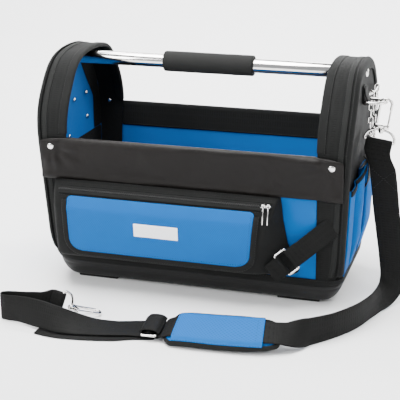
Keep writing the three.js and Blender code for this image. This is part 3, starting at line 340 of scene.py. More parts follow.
def make_weave_group():
    """Plain weave: raised where one thread passes over the other."""
    tree, given, out = new_group("Plain weave", [VECTOR_IN, float_in("Pitch Along", 0.001),
                                                 float_in("Pitch Across", 0.001)], ["Height"])
    axes = add_node(tree, "ShaderNodeSeparateXYZ", i0=given.outputs["Vector"]).outputs
    waves = []
    for axis, pitch in ((axes[0], "Pitch Along"), (axes[1], "Pitch Across")):
        turns = maths(tree, "DIVIDE", axis, given.outputs[pitch])
        waves.append(maths(tree, "SINE", maths(tree, "MULTIPLY", turns, math.pi)))
    product = maths(tree, "MULTIPLY", *waves)
    height = maths(tree, "MULTIPLY", maths(tree, "ADD", product, 1.0), 0.5)
    tree.links.new(height, out.inputs["Height"])
    return tree


def make_rib_group():
    """Webbing: round ribs across its length, each broken by the threads that hold it."""
    tree, given, out = new_group("Webbing ribs", [VECTOR_IN, float_in("Pitch Along", 0.0016),
                                                  float_in("Pitch Across", 0.0024)], ["Height"])
    axes = add_node(tree, "ShaderNodeSeparateXYZ", i0=given.outputs["Vector"]).outputs
    along = maths(tree, "DIVIDE", axes[0], given.outputs["Pitch Along"])
    across = maths(tree, "DIVIDE", axes[1], given.outputs["Pitch Across"])
    rib = maths(tree, "ABSOLUTE", maths(tree, "SINE", maths(tree, "MULTIPLY", along, math.pi)))
    column = maths(tree, "FLOOR", across)
    step = maths(tree, "MULTIPLY", column, math.pi / 2)
    twill = maths(tree, "SINE", maths(tree, "ADD", maths(tree, "MULTIPLY", along, math.pi), step))
    edge = maths(tree, "ABSOLUTE", maths(tree, "SINE", maths(tree, "MULTIPLY", across, math.pi)))
    both = maths(tree, "MULTIPLY", maths(tree, "ABSOLUTE", twill), 0.35)
    height = maths(tree, "ADD", maths(tree, "MULTIPLY", rib, 0.45), both)
    height = maths(tree, "ADD", height, maths(tree, "MULTIPLY", edge, 0.2))
    tree.links.new(height, out.inputs["Height"])
    return tree


def make_wear_group():
    """Slow changes of tone, and fine dust in patches."""
    tree, given, out = new_group("Even wear", [VECTOR_IN, float_in("Size", 0.05)], ["Tone", "Dust"])
    scale = maths(tree, "DIVIDE", 1.0, given.outputs["Size"])
    broad = add_node(tree, "ShaderNodeTexNoise", Vector=given.outputs["Vector"], Scale=scale,
                     Detail=3.0, Roughness=0.55)
    fine = add_node(tree, "ShaderNodeTexNoise", Vector=given.outputs["Vector"],
                    Scale=maths(tree, "MULTIPLY", scale, 14.0), Detail=4.0, Roughness=0.6)
    tone = maths(tree, "ADD", maths(tree, "MULTIPLY", broad.outputs["Fac"], 0.7),
                 maths(tree, "MULTIPLY", fine.outputs["Fac"], 0.3))
    dust = add_node(tree, "ShaderNodeMapRange", i0=maths(tree, "MULTIPLY", broad.outputs["Fac"],
                                                         fine.outputs["Fac"]), i1=0.22, i2=0.42)
    tree.links.new(tone, out.inputs["Tone"])
    tree.links.new(dust.outputs[0], out.inputs["Dust"])
    return tree


groups = {}


def rgba(colour, gain=1.0):
    return (*(min(c * gain, 1.0) for c in colour), 1.0)


def start_material(name, roughness, metallic=0.0):
    material = bpy.data.materials.new(name)
    material.use_nodes = True
    tree = material.node_tree
    tree.nodes.clear()
    shader = add_node(tree, "ShaderNodeBsdfPrincipled", Roughness=roughness, Metallic=metallic)
    add_node(tree, "ShaderNodeOutputMaterial", Surface=shader.outputs[0])
    places = add_node(tree, "ShaderNodeTexCoord")
    return material, tree, shader, places


def varied_colour(tree, tone, colour, spread):
    """The colour, running from a little darker to a little lighter with the tone."""
    mix = add_node(tree, "ShaderNodeMix", {"data_type": "RGBA"}, i0=tone)
    mix.inputs[6].default_value = rgba(colour, 1 - spread)
    mix.inputs[7].default_value = rgba(colour, 1 + spread)
    return mix.outputs[2]


def cloth_material(name, colour, pattern="weave", pitch=(0.9, 0.9), depth=0.12, roughness=0.8, sheen=0.0,
                   spread=0.25, crease=0.5, crease_size=28, shade=0.35, uv=True, gloss=0.12):
    """Cloth with its weave, painted shade in the weave's hollows, slow changes of tone and small creases;
    lengths are millimetres.
    """
    material, tree, shader, places = start_material(name, roughness)
    shader.inputs["Sheen Weight"].default_value = sheen
    shader.inputs["Sheen Roughness"].default_value = 0.45
    shader.inputs["Specular IOR Level"].default_value = gloss
    body = places.outputs["Object"]
    wear = add_node(tree, "ShaderNodeGroup", {"node_tree": groups["wear"]}, Vector=body, Size=0.06)
    weave = add_node(tree, "ShaderNodeGroup", {"node_tree": groups[pattern]},
                     Vector=places.outputs["UV"] if uv else body,
                     Pitch_Along=pitch[0] * MM, Pitch_Across=pitch[1] * MM)
    base = varied_colour(tree, wear.outputs["Tone"], colour, spread)
    # Painted shade: the colour is darkened where the weave or ribs are low, down to 1 - shade of it in the
    # deepest hollows.
    low = add_node(tree, "ShaderNodeMapRange", i0=weave.outputs["Height"], i1=0.0, i2=0.7, i3=1 - shade,
                   i4=1.0)
    threads = add_node(tree, "ShaderNodeMix", {"data_type": "RGBA", "blend_type": "MULTIPLY"}, i0=1.0,
                       i6=base)
    tree.links.new(low.outputs[0], threads.inputs[7])
    tree.links.new(threads.outputs[2], shader.inputs["Base Color"])
    rough = add_node(tree, "ShaderNodeMapRange", i0=wear.outputs["Dust"], i3=roughness - 0.06,
                     i4=min(roughness + 0.08, 1.0))
    tree.links.new(rough.outputs[0], shader.inputs["Roughness"])
    creases = add_node(tree, "ShaderNodeTexNoise", Vector=body, Scale=1 / (crease_size * MM), Detail=3.0,
                       Roughness=0.5, Distortion=0.6)
    first = add_node(tree, "ShaderNodeBump", Strength=1.0, Distance=crease * MM,
                     Height=creases.outputs["Fac"])
    second = add_node(tree, "ShaderNodeBump", Strength=0.8, Distance=depth * MM,
                      Height=weave.outputs["Height"], Normal=first.outputs[0])
    tree.links.new(second.outputs[0], shader.inputs["Normal"])
    return material


def solid_material(name, colour, roughness, metallic=0.0, grain=0.05, grain_size=1.2, spread=0.1,
                   rough_spread=0.08, gloss=0.5):
    """Moulded, foamed or plated material with fine grain; lengths are millimetres."""
    material, tree, shader, places = start_material(name, roughness, metallic)
    shader.inputs["Specular IOR Level"].default_value = gloss
    body = places.outputs["Object"]
    wear = add_node(tree, "ShaderNodeGroup", {"node_tree": groups["wear"]}, Vector=body, Size=0.04)
    tree.links.new(varied_colour(tree, wear.outputs["Tone"], colour, spread), shader.inputs["Base Color"])
    rough = add_node(tree, "ShaderNodeMapRange", i0=wear.outputs["Tone"],
                     i3=max(roughness - rough_spread, 0.02), i4=roughness + rough_spread)
    tree.links.new(rough.outputs[0], shader.inputs["Roughness"])
    fine = add_node(tree, "ShaderNodeTexNoise", Vector=body, Scale=1 / (grain_size * MM),
                    Detail=2.0, Roughness=0.6)
    bump = add_node(tree, "ShaderNodeBump", Strength=1.0, Distance=grain * MM, Height=fine.outputs["Fac"])
    tree.links.new(bump.outputs[0], shader.inputs["Normal"])
    return material


finishes = {}


def make_finishes():
    """All of the bag's materials, from the colours in the panel."""
    groups.update(weave=make_weave_group(), ribs=make_rib_group(), wear=make_wear_group())
    colours = bpy.context.scene.tool_bag_colours
    sizes = bpy.context.scene.tool_bag_sizes
    weave = (sizes.weave_pitch / MM, sizes.weave_pitch / MM)
    rib = sizes.rib_pitch / MM
    blue, black = tuple(colours.blue_cloth), tuple(colours.black_cloth)
    finishes.update(
        blue=cloth_material("Blue cloth", blue, pitch=weave, spread=0.12, crease=0.9, shade=0.25),
        lining=cloth_material("Blue lining", blue, pitch=weave, spread=0.1, crease=0.7, shade=0.2),
        black=cloth_material("Black cloth", black, pitch=weave, spread=0.2, crease=0.6, shade=0.3),
        band=cloth_material("Ribbed band", black, pattern="ribs", pitch=(1.4 * rib, 2.0 * rib), depth=0.35,
                            spread=0.2, crease=0.4, shade=0.85),
        collar=cloth_material("Collar cloth", tuple(colours.collar), pitch=(0.7, 0.7), depth=0.05,
                              roughness=0.52, crease=2.6, crease_size=50, shade=0.12, gloss=0.14),
        webbing=cloth_material("Strap webbing", tuple(colours.webbing), pattern="ribs",
                               pitch=(rib, 1.5 * rib), depth=0.3, roughness=0.75, spread=0.2, crease=0.3,
                               shade=0.85),
        tape=cloth_material("Binding tape", black, pattern="ribs", pitch=(0.8 * rib, rib), depth=0.12,
                            spread=0.15, crease=0.3, shade=0.3),
        strip=cloth_material("Seam strip", tuple(1.7 * c for c in black), pattern="ribs",
                             pitch=(0.8 * rib, rib), depth=0.12, spread=0.15, crease=0.2, shade=0.3),
        thread=solid_material("Thread", tuple(1.3 * c for c in black), 0.7, grain=0.03, grain_size=0.6),
        tray=solid_material("Moulded tray", tuple(colours.tray), 0.5, grain=0.12, grain_size=0.9, gloss=0.22),
        foam=solid_material("Foam grip", tuple(colours.foam), 0.85, grain=0.1, grain_size=0.8, spread=0.15,
                            gloss=0.15),
        chrome=solid_material("Bright plating", tuple(colours.plating), 0.13, 1.0, grain=0.004,
                              grain_size=6, rough_spread=0.05, spread=0.04),
        label=cloth_material("Blank label", tuple(colours.label), pitch=(0.5, 0.5), depth=0.03,
                             roughness=0.6, sheen=0.1, spread=0.03, crease=0.2, shade=0.05),
        pad=cloth_material("Pad cloth", blue, pitch=weave, spread=0.12, crease=0.9, shade=0.25, uv=False),
        pad_under=cloth_material("Pad underside", black, pitch=weave, crease=0.5, uv=False),
        zip=solid_material("Zip coil", (0.02, 0.02, 0.02), 0.4, grain=0.02, grain_size=0.8),
    )


# Shape of the walls

def plan_at(z):
    """Half length, half depth and corner radius of the bag at a height."""
    share = (min(z, BACK_RIM) - TRAY_HEIGHT) / (BACK_RIM - TRAY_HEIGHT)
    fade = clamp(1 - (z - TRAY_HEIGHT) / CORNER_FADE)
    return (lerp(BASE_LENGTH, BAG_LENGTH, share) / 2, lerp(BASE_DEPTH, BAG_DEPTH, share) / 2,
            lerp(SEAM_RADIUS, TRAY_CORNER, fade * fade))


def half_length_at(z):
    share = clamp((z - BACK_RIM) / (ARCH_TOP - BACK_RIM))
    return plan_at(z)[0] + ARCH_SWELL * math.sin(math.pi * share)


def wall_point(side, x, z, lift=0.0):
    """A point on the outer face of the front wall (side -1) or the back wall (side 1)."""
    return Vector((x, side * (plan_at(z)[1] + lift), z))


# Side view of the arch over each end: shares of the half depth and of its height.
ARCH = [
    # depth, height
    (1.0, 0.0), (0.975, 0.2), (0.9, 0.42), (0.77, 0.62), (0.65, 0.8), (0.49, 0.93), (0.25, 0.985),
    (0.06, 1.0),
]
STATION_COUNT, SMOOTHING_ROUNDS = 240, 30
FACING_TUCK = 1.0


def make_stations():
    """Even stations up the front wall, over the arch and down the back wall, with outward normals."""
    lower = [Vector((-plan_at(z)[1], z)) for z in (WALL_BOTTOM, 80, 130, 180, 215)]
    arch = [Vector((-depth * BAG_DEPTH / 2, lerp(BACK_RIM, ARCH_TOP, height))) for depth, height in ARCH]
    side = [*lower, *arch]
    line = resample(catmull([*side, *(Vector((-p.x, p.y)) for p in reversed(side))], 10), STATION_COUNT)
    for _ in range(SMOOTHING_ROUNDS):
        line = [line[0], *((a + 2 * b + c) / 4 for a, b, c in zip(line, line[1:], line[2:])), line[-1]]
    made = []
    for k, point in enumerate(line):
        along = (line[min(k + 1, STATION_COUNT)] - line[max(k - 1, 0)]).normalized()
        made.append((point.x, point.y, half_length_at(point.y), plan_at(point.y)[2], -along.y, along.x))
    return made


STATIONS = make_stations()
PROFILE_LENGTH = 840


def station(s):
    """Depth, height, half length, corner radius and normal at a share of the way over the arch."""
    place = clamp(s) * STATION_COUNT
    k = min(int(place), STATION_COUNT - 1)
    return [lerp(a, b, place - k) for a, b in zip(STATIONS[k], STATIONS[k + 1])]


def inner_reach(z):
    """How far back the end panel's inner face reaches at a height."""
    return next((-row[0] for row in STATIONS if row[1] >= z), 60) - WALL - FACING_TUCK


def station_near(z):
    """Share of the way over the arch where the front wall has a height."""
    return next(k for k, row in enumerate(STATIONS) if row[1] >= z) / STATION_COUNT


def seam_point(row, end, distance, lift):
    """A point on a band or end panel: distance from the corner seam, towards the end panel if positive."""
    y, z, half, corner, ny, nz = row
    arc = corner * math.pi / 4
    out, rise = half - corner, -corner
    if distance < -arc:
        out, rise = out + distance + arc, lift
    elif distance > arc:
        rise -= distance - arc
        out = half_length_at(z + nz * rise) + lift
    else:
        angle = math.pi / 4 + distance / corner
        out += (corner + lift) * math.sin(angle)
        rise += (corner + lift) * math.cos(angle)
    return Vector((end * out, y + ny * rise, z + nz * rise))


def ring_point(u, half_x, half_y, corner):
    """A point round a rounded rectangle, by its share of the way round from the middle of the right end."""
    corner = max(corner, 0.01)
    quarter = math.pi * corner / 2
    straight_x, straight_y = 2 * (half_x - corner), 2 * (half_y - corner)
    left = (u % 1.0) * (2 * straight_x + 2 * straight_y + 4 * quarter)
    runs = [(straight_y / 2, Y, (half_x, 0)), (quarter, 0, (half_x - corner, half_y - corner)),
            (straight_x, -X, (half_x - corner, half_y)), (quarter, 90, (corner - half_x, half_y - corner)),
            (straight_y, -Y, (-half_x, half_y - corner)), (quarter, 180, (corner - half_x, corner - half_y)),
            (straight_x, X, (corner - half_x, -half_y)), (quarter, 270, (half_x - corner, corner - half_y)),
            (straight_y / 2, Y, (half_x, corner - half_y))]
    for length, way, start in runs:
        if left <= length:
            if isinstance(way, Vector):
                return Vector((*start, 0)) + way * left
            angle = math.radians(way) + left / corner
            return Vector((start[0] + corner * math.cos(angle), start[1] + corner * math.sin(angle), 0))
        left -= length
    return Vector((half_x, 0, 0))


# Stage

FLOOR_FRONT, FLOOR_BACK, FLOOR_HALF = -3000, 4200, 4200
BEND_START, BEND_RUN, BEND_RISE = 1800, 1600, 1000
CAMERA_AIM, CAMERA_LENS = Vector((-17.6, 0, 110.5)) * MM, 102.3
LIGHTS = [
    # name, place, aim, power, width, height
    ("overhead", (-0.25, -0.2, 1.75), (0.0, 0.0, 0.1), 96.0, 1.5, 1.1),
    ("front_left", (-1.5, -1.9, 1.15), (0.0, 0.0, 0.12), 56.0, 1.1, 1.1),
    ("right_fill", (1.9, -1.2, 0.9), (0.1, 0.0, 0.15), 28.0, 0.9, 1.3),
    ("back_rim", (0.5, 1.9, 1.3), (0.0, 0.0, 0.25), 34.0, 1.6, 0.8),
    ("backdrop_left", (-1.6, 1.5, 2.3), (-0.9, 2.9, 0.4), 130.0, 1.6, 1.0),
    ("backdrop_right", (1.6, 1.5, 2.3), (0.9, 2.9, 0.4), 130.0, 1.6, 1.0),
]


def make_stage():
    """A pale floor that curves up behind, soft lights, two lamps on the backdrop, and the camera."""
    bm = bmesh.new()

    def place(u, v, lift):
        run = lerp(FLOOR_FRONT, FLOOR_BACK, v)
        bend = clamp((run - BEND_START) / BEND_RUN) * math.pi / 2
        rise = BEND_RISE * (1 - math.cos(bend)) + max(0.0, run - BEND_START - BEND_RUN)
        depth = min(run, BEND_START) + BEND_RISE * math.sin(bend)
        return Vector((lerp(-FLOOR_HALF, FLOOR_HALF, u), depth, rise + lift))

    surface(bm, 24, 48, place, (2 * FLOOR_HALF, FLOOR_BACK - FLOOR_FRONT))
    floor = to_object("floor", bm)
    colours = bpy.context.scene.tool_bag_colours
    finish = solid_material("Pale floor", tuple(colours.floor), 0.9, grain=0.0, spread=0.01)
    floor.data.materials.append(finish)
    floor.data.shade_smooth()

    world = bpy.data.worlds.new("Studio")
    world.use_nodes = True
    background = world.node_tree.nodes["Background"]
    background.inputs["Color"].default_value = (0.93, 0.96, 1.0, 1.0)
    background.inputs["Strength"].default_value = 0.5
    bpy.context.scene.world = world

    for name, place_at, aim, power, width, height in LIGHTS:
        data = bpy.data.lights.new(name, "AREA")
        data.shape, data.size, data.size_y, data.energy = "RECTANGLE", width, height, power
        light = bpy.data.objects.new(name, data)
        bpy.context.scene.collection.objects.link(light)
        way = Vector(aim) - Vector(place_at)
        turn = way.to_track_quat("-Z", "Y").to_matrix().to_4x4()
        light.matrix_world = Matrix.Translation(place_at) @ turn

    sizes = bpy.context.scene.tool_bag_sizes
    azimuth, elevation = sizes.camera_azimuth, sizes.camera_elevation
    back = Vector((math.sin(azimuth) * math.cos(elevation), -math.cos(azimuth) * math.cos(elevation),
                   math.sin(elevation)))
    data = bpy.data.cameras.new("camera")
    data.lens, data.sensor_width = CAMERA_LENS, 36.0
    camera = bpy.data.objects.new("camera", data)
    bpy.context.scene.collection.objects.link(camera)
    turn = (-back).to_track_quat("-Z", "Y").to_matrix().to_4x4()
    camera.matrix_world = Matrix.Translation(CAMERA_AIM + back * sizes.camera_distance) @ turn
    bpy.context.scene.camera = camera


# Stitches

def stitches(name, runs, width=0.5, finish="thread"):
    """Rows of thread dashes; each run is (points, face direction at a point)."""
    bm = bmesh.new()
    sizes = bpy.context.scene.tool_bag_sizes
    dash, pitch = sizes.stitch_length / MM, (sizes.stitch_length + sizes.stitch_gap) / MM
    for points, facing in runs:
        total = sum((b - a).length for a, b in zip(points, points[1:]))
        even = resample(points, max(int(total / pitch), 1))
        for a, b in zip(even, even[1:]):
            along = (b - a).normalized()
            up = facing(a)
            up = (up - along * up.dot(along)).normalized()
            turn = Matrix((along, up.cross(along), up)).transposed().to_4x4()
            made = bmesh.ops.create_icosphere(bm, subdivisions=1, radius=1.0)
            bmesh.ops.scale(bm, vec=(dash / 2, width / 2, width * 0.4), verts=made["verts"])
            bmesh.ops.transform(bm, matrix=Matrix.Translation(a.lerp(b, 0.5)) @ turn, verts=made["verts"])
    finish_piece(to_object(name, bm), [finish], "bag")


# Tray

# From the middle of the underside, out and up, over the rim and down to the inner floor.
TRAY_PROFILE = [
    # height, distance in from the outline
    (4.0, 99.5), (4.0, 60), (4.0, 26), (4.0, 20), (4.4, 17.2), (5.6, 15), (8, 12.2), (13, 7.8), (20, 3.9),
    (24, 2.2), (25, 2.5), (26, 1.7), (30.6, 0.25), (31.6, 0.6), (32, 1.6), (32, 3.2), (31.4, 4.3),
    (28, 5.4), (20, 9.4), (14, 13.6), (10, 17.2), (8.3, 21), (8, 26), (8, 60), (8, 99.5),
]
TRAY_RIM_ROW = 14
FOOT, FOOT_INSET_X, FOOT_INSET_Y = (62, 30, 6), 63, 34
LOWER_BINDING_HEIGHT, LOWER_BINDING_LIFT, LOWER_STITCH_HEIGHT = 10.8, 1.4, 41


def make_tray():
    """Moulded tray on its feet, and the tape over its joint with the walls."""
    bm = bmesh.new()
    last = len(TRAY_PROFILE) - 1

    def place(u, v, lift):
        row = round(v * last)
        z, inset = TRAY_PROFILE[row]
        inset += -lift if row < TRAY_RIM_ROW else lift
        point = ring_point(u, BASE_LENGTH / 2 - inset, BASE_DEPTH / 2 - inset, max(TRAY_CORNER - inset, 5))
        return Vector((point.x, point.y, z))

    surface(bm, 144, last, place, (1100, 180), weld=True)
    bmesh.ops.recalc_face_normals(bm, faces=bm.faces)
    foot_x, foot_y = BASE_LENGTH / 2 - FOOT_INSET_X, BASE_DEPTH / 2 - FOOT_INSET_Y
    for x, y in [(0, 0)] + [(sx * foot_x, sy * foot_y) for sx in (-1, 1) for sy in (-1, 1)]:
        add_block(bm, FOOT, Matrix.Translation((x, y, FOOT[2] / 2)), edge=1.6, segments=3)
    finish_piece(to_object("tray", bm), ["tray"], "bag", ["base_tray"])

    def tape(u, v, lift):
        level = WALL_BOTTOM + v * LOWER_BINDING_HEIGHT
        half_x, half_y, corner = plan_at(level)
        swell = LOWER_BINDING_LIFT + lift + 0.5 * math.sin(math.pi * v)
        point = ring_point(u, half_x + swell, half_y + swell, corner + swell)
        return Vector((point.x, point.y, level))

    bm = bmesh.new()
    surface(bm, 180, 6, tape, (1250, LOWER_BINDING_HEIGHT), weld=True)
    binding = to_object("lower_binding_tape", bm)
    thicken(binding, 1.1)
    finish_piece(binding, ["tape"], "bag", ["lower_binding"])
    outline = [size + LOWER_BINDING_LIFT + 0.5 for size in plan_at(LOWER_STITCH_HEIGHT)]
    row = [Vector((*ring_point(k / 360, *outline).xy, LOWER_STITCH_HEIGHT)) for k in range(361)]
    stitches("lower_binding_stitches", [(row, lambda p: Vector((p.x / 4, p.y, 0)))])


# Walls, bands and end panels

def make_walls():
    """Front and back walls, the bands over the ends, the end panels and all the bindings."""
    for side, rim, node in ((-1, FRONT_RIM, "front_panel"), (1, BACK_RIM, "back_panel")):
        half = BAND_EDGE + WALL_LAP

        def place(u, v, lift, side=side, rim=rim, half=half):
            x, z = lerp(-half, half, u), lerp(WALL_BOTTOM, rim - GAP, v)
            calm = math.sin(math.pi * u) * math.sin(math.pi * v)
            under = -0.5 * smooth((abs(x) - BAND_EDGE + 6) / 4)
            return wall_point(side, x, z, lift + under + calm * ripple(x, 7 * side, z, 60, 1.4))

        cloth(node.replace("panel", "wall"), 48, 28, place, (2 * half, rim - 32), WALL,
              ["blue", "lining"], [node])
    for end, side in ((-1, "left"), (1, "right")):
        make_end(end, side)


# Black facing inside each end, round the blue board: name, lowest and highest point, and the board's edge.
FACINGS = [
    ("lower", 44, 189, [(44, -96), (189, -106)]),
    ("rear", 189, 318, [(189, 82), (242, 86), (262, 72), (288, 53), (312, 35), (318, 30)]),
]
# Tapes along the corner seam: nearest and furthest distance from it, lift and crown.
OUTER_BINDING, SEAM_STRIP = (-3.5, 13.5, 2.2, 0.9), (-13.5, -5.5, 0.9, 0.5)
BINDING_FOOT = 45
# Section of the tape folded over the band's inner edge: distance past the edge, and lift.
EDGE_FOLD = [(11, 0.9), (5, 1.1), (1, 1.2), (-0.9, 0.5), (-1.5, -1.5), (-0.9, -3.5), (1, -4.2), (5, -4.1),
             (11, -3.9)]
CORNER_SHARE, PANEL_STOP = 0.06, 0.478


def make_end(end, side):
    """One end of the bag: its band, panel, bindings and the strip beside the seam."""
    def on_seam(low, high, base, crown):
        def place(u, v, lift):
            row = station(lerp(start, stop, u))
            return seam_point(row, end, lerp(low, high, v), base + lift + crown * math.sin(math.pi * v))
        return place

    def band(u, v, lift):
        row = station(u)
        reach = row[3] * math.pi / 4 + row[2] - row[3] - BAND_EDGE + 1.2
        puff = 0.7 * math.sin(math.pi * v) + ripple(end * 90 * v, row[0], row[1], 34, 0.5)
        return seam_point(row, end, -reach * (1 - v), lift + puff * (1 - v * v))

    cloth(f"band_{side}_cloth", 200, 10, band, (PROFILE_LENGTH, 50), WALL, ["band", "black"],
          [f"band_{side}"])

    def panel(u, v, lift):
        s = PANEL_STOP * v
        front, back = station(s), station(1 - s)
        arc = front[3] * math.pi / 4
        if u < CORNER_SHARE:
            return seam_point(front, end, arc * u / CORNER_SHARE, lift)
        if u > 1 - CORNER_SHARE:
            return seam_point(back, end, arc * (1 - u) / CORNER_SHARE, lift)
        a, b = seam_point(front, end, arc, lift), seam_point(back, end, arc, lift)
        point = a.lerp(b, (u - CORNER_SHARE) / (1 - 2 * CORNER_SHARE))
        calm = math.sin(math.pi * u)
        return point + X * end * calm * ripple(3 * end, point.y, point.z, 45, 1.6)

    cloth(f"end_{side}_cloth", 40, 60, panel, (230, 400), WALL, ["black", "lining"],
          [f"end_panel_{side}"])
    for name, low, high, edge in FACINGS:
        def facing_cloth(u, v, lift, low=low, high=high, edge=edge):
            z = lerp(low, high, v)
            y = lerp(table_at(edge, z, 1), inner_reach(z), u)
            return Vector((end * (half_length_at(z) - WALL - 0.9 - lift), y, z))

        cloth(f"{name}_facing_{side}", 28, 24, facing_cloth, (170, high - low), 0.6, ["black"])
    start = station_near(BINDING_FOOT)
    stop = 1 - start

    cloth(f"outer_binding_{side}_tape", 180, 8, on_seam(*OUTER_BINDING), (800, 17), 1.6, ["tape"],
          [f"outer_binding_{side}"])
    cloth(f"seam_strip_{side}", 180, 4, on_seam(*SEAM_STRIP), (800, 8.5), 0.7, ["strip"])

    rim = station_near(BACK_RIM)

    def edge_tape(u, v, lift):
        y, z, _, _, ny, nz = station(lerp(rim, 1 - rim, u))
        place_at = v * (len(EDGE_FOLD) - 1)
        k = min(int(place_at), len(EDGE_FOLD) - 2)
        a, b = (lerp(EDGE_FOLD[k][i], EDGE_FOLD[k + 1][i], place_at - k) for i in (0, 1))
        reach = 1 + lift / 4
        a, b = 11 + (a - 11) * reach, -1.5 + (b + 1.5) * reach
        return Vector((end * (BAND_EDGE + a), y + ny * b, z + nz * b))

    cloth(f"edge_tape_{side}_fold", 110, 16, edge_tape, (360, 30), 1.1, ["tape"],
          [f"edge_tape_{side}"], offset=0)

    def seam_row(distance, lift):
        return [seam_point(station(lerp(start, stop, k / 240)), end, distance, lift) for k in range(241)]

    def facing(p):
        return Vector((0.3 * end, p.y / BAG_DEPTH * 2, max(p.z - 200, 0) / 100)).normalized()

    tape_row = []
    for k in range(201):
        y, z, _, _, ny, nz = station(lerp(rim, 1 - rim, k / 200))
        tape_row.append(Vector((end * (BAND_EDGE + 9.3), y + ny * 1.5, z + nz * 1.5)))
    stitches(f"end_stitches_{side}", [(seam_row(-2.4, 2.9), facing), (seam_row(-12.7, 1.3), facing),
                                      (seam_row(-6.3, 1.3), facing), (tape_row, facing)])


# Collar and back band

RIVET_X, RIVET_Z = 204, 213
# Sections of cloth folded over the rims: length along the cloth, height, distance from the wall.
COLLAR_SECTION = [
    (0, 165, 4.4), (1.6, 166.6, 4.8), (11.2, 176, 3.2), (54.8, 219.5, 2.4), (58.0, 222.6, 2.1),
    (60.0, 224.0, 0.6), (62.1, 224.5, -1.5), (64.5, 224.0, -3.8), (66.9, 222.0, -5.2), (80.9, 208, -5.3),
]
COLLAR_FOLD, COLLAR_RISE_X = 58.0, 188
BACK_SECTION = [
    (0, 190, 1.5), (1, 191, 1.7), (36.5, 226.5, 1.6), (39.5, 229.3, 0.6), (41.7, 229.8, -1.5),
    (44, 229.2, -3.7), (46.8, 226.5, -4.6), (83.3, 190, -4.5),
]
BACK_FOLD = 41.7


def fan(x, z):
    """Creases that fan out over the collar from the rivets at its two ends."""
    total = 0.0
    for side in (-1, 1):
        dx, dz = side * RIVET_X - x, RIVET_Z - z
        away = math.hypot(dx, dz)
        angle = math.atan2(dz, side * dx)
        near = smooth((away - 6) / 22) * smooth(1 - away / 105)
        total += near * (0.5 + 0.5 * math.cos(angle * 11 + 1.1 * side + away / 60))
    return total


def section_at(rows, share):
    """Length along a section at a share of it, with the height and the distance from the wall there."""
    run = share * rows[-1][0]
    return run, table_at(rows, run, 1), table_at(rows, run, 2)


def make_collar():
    """Smooth collar across the front, and the black band along the top of the back wall."""
    def collar(u, v, lift):
        run, z, out = section_at(COLLAR_SECTION, v)
        over = smooth((run - COLLAR_FOLD) / 1.5)
        half = lerp(COLLAR_HALF, FOLD_HALF, over)
        x = lerp(-half, half, u)
        outside = 1 - smooth((run - 54) / 6)
        out += 3.2 * smooth((abs(x) - COLLAR_RISE_X) / 12) * (1 - over)
        from_rivet = math.hypot(abs(x) - RIVET_X, z - RIVET_Z)
        held = smooth(run / 5) * outside * smooth((222 - abs(x)) / 12) * smooth((from_rivet - 6) / 18)
        swell = held * (1.9 * fan(x, z) + ripple(x, 3, z * 2, 75, 3.4) + ripple(x, 9, z, 26, 0.8) + 1.2)
        wave = (1 - over) * ripple(x, 40, 0, 90, 0.8)
        return wall_point(-1, x, z + wave * smooth(run / 40), out + swell + (lift if over < 0.5 else -lift))

    cloth("front_collar_cloth", 160, 36, collar, (424, 79), 1.8, ["collar"],
          ["front_collar"])

    def back_band(u, v, lift):
        run, z, out = section_at(BACK_SECTION, v)
        x = lerp(-BACK_FOLD_HALF, BACK_FOLD_HALF, u)
        return wall_point(1, x, z, out + (lift if run < BACK_FOLD else -lift))

    cloth("back_band_cloth", 90, 26, back_band, (351, 83), 1.1, ["band"],
          ["back_top_band"])

    def row(side, half, z, out):
        return [wall_point(side, lerp(-half, half, k / 200), z, out) for k in range(201)]

    stitches("rim_stitches", [
        (row(-1, 208, 169.6, 2.9), lambda p: -Y), (row(-1, 208, 172.4, 3.4), lambda p: -Y),
        (row(1, 172, 192.5, 2.0), lambda p: Y), (row(1, 172, 192.5, -4.9), lambda p: -Y)])


# Front pocket

POCKET_LEFT, POCKET_LENGTH = -203, 318
POCKET_BOTTOM, POCKET_TOP, POCKET_DEPTH = 45, 166, 32
POCKET = [
    # height, depth, right edge in front, right edge at the wall: shares of the pocket's size
    (0.0, 0.0, 0.94, 1.1), (0.03, 0.7, 0.945, 1.125), (0.075, 0.92, 0.955, 1.145), (0.41, 1.0, 0.975, 1.09),
    (0.7, 1.0, 1.015, 1.07), (0.85, 0.8, 1.04, 1.065), (0.95, 0.5, 1.045, 1.06), (1.0, 0.0, 1.045, 1.055),
]
FLAP_LEFT, FLAP_LENGTH, FLAP_TOP, FLAP_BOTTOM, FLAP_CORNER = -173, 275, 147, 64, 18
LABEL_LEFT, LABEL_LENGTH, LABEL_BOTTOM, LABEL_HEIGHT = -72, 66, 96, 20


def pocket_at(z, column):
    """A column of the pocket's table at a height, rounded off over a few millimetres."""
    share = (z - POCKET_BOTTOM) / (POCKET_TOP - POCKET_BOTTOM)
    reach = 0.022 * smooth(min(share, 1 - share) / 0.04)
    return sum(table_at(POCKET, share + k * reach, column) for k in (-1, -0.5, 0, 0.5, 1)) / 5


def pocket_puff(x, z):
    """How far the filled pocket swells from its plain shape."""
    across = clamp((x - POCKET_LEFT) / (POCKET_LENGTH * 0.98))
    up = clamp((z - POCKET_BOTTOM) / (POCKET_TOP - POCKET_BOTTOM))
    calm = math.sin(math.pi * across) ** 0.5 * math.sin(math.pi * up)
    return calm * (1.6 + ripple(x, 5, z, 55, 2.2) + ripple(x, 11, z * 0.5, 20, 0.4))


def pocket_face(x, z, lift=0.0):
    """A point on the front of the pocket."""
    return wall_point(-1, x, z, GAP + POCKET_DEPTH * pocket_at(z, 1) + pocket_puff(x, z) + lift)


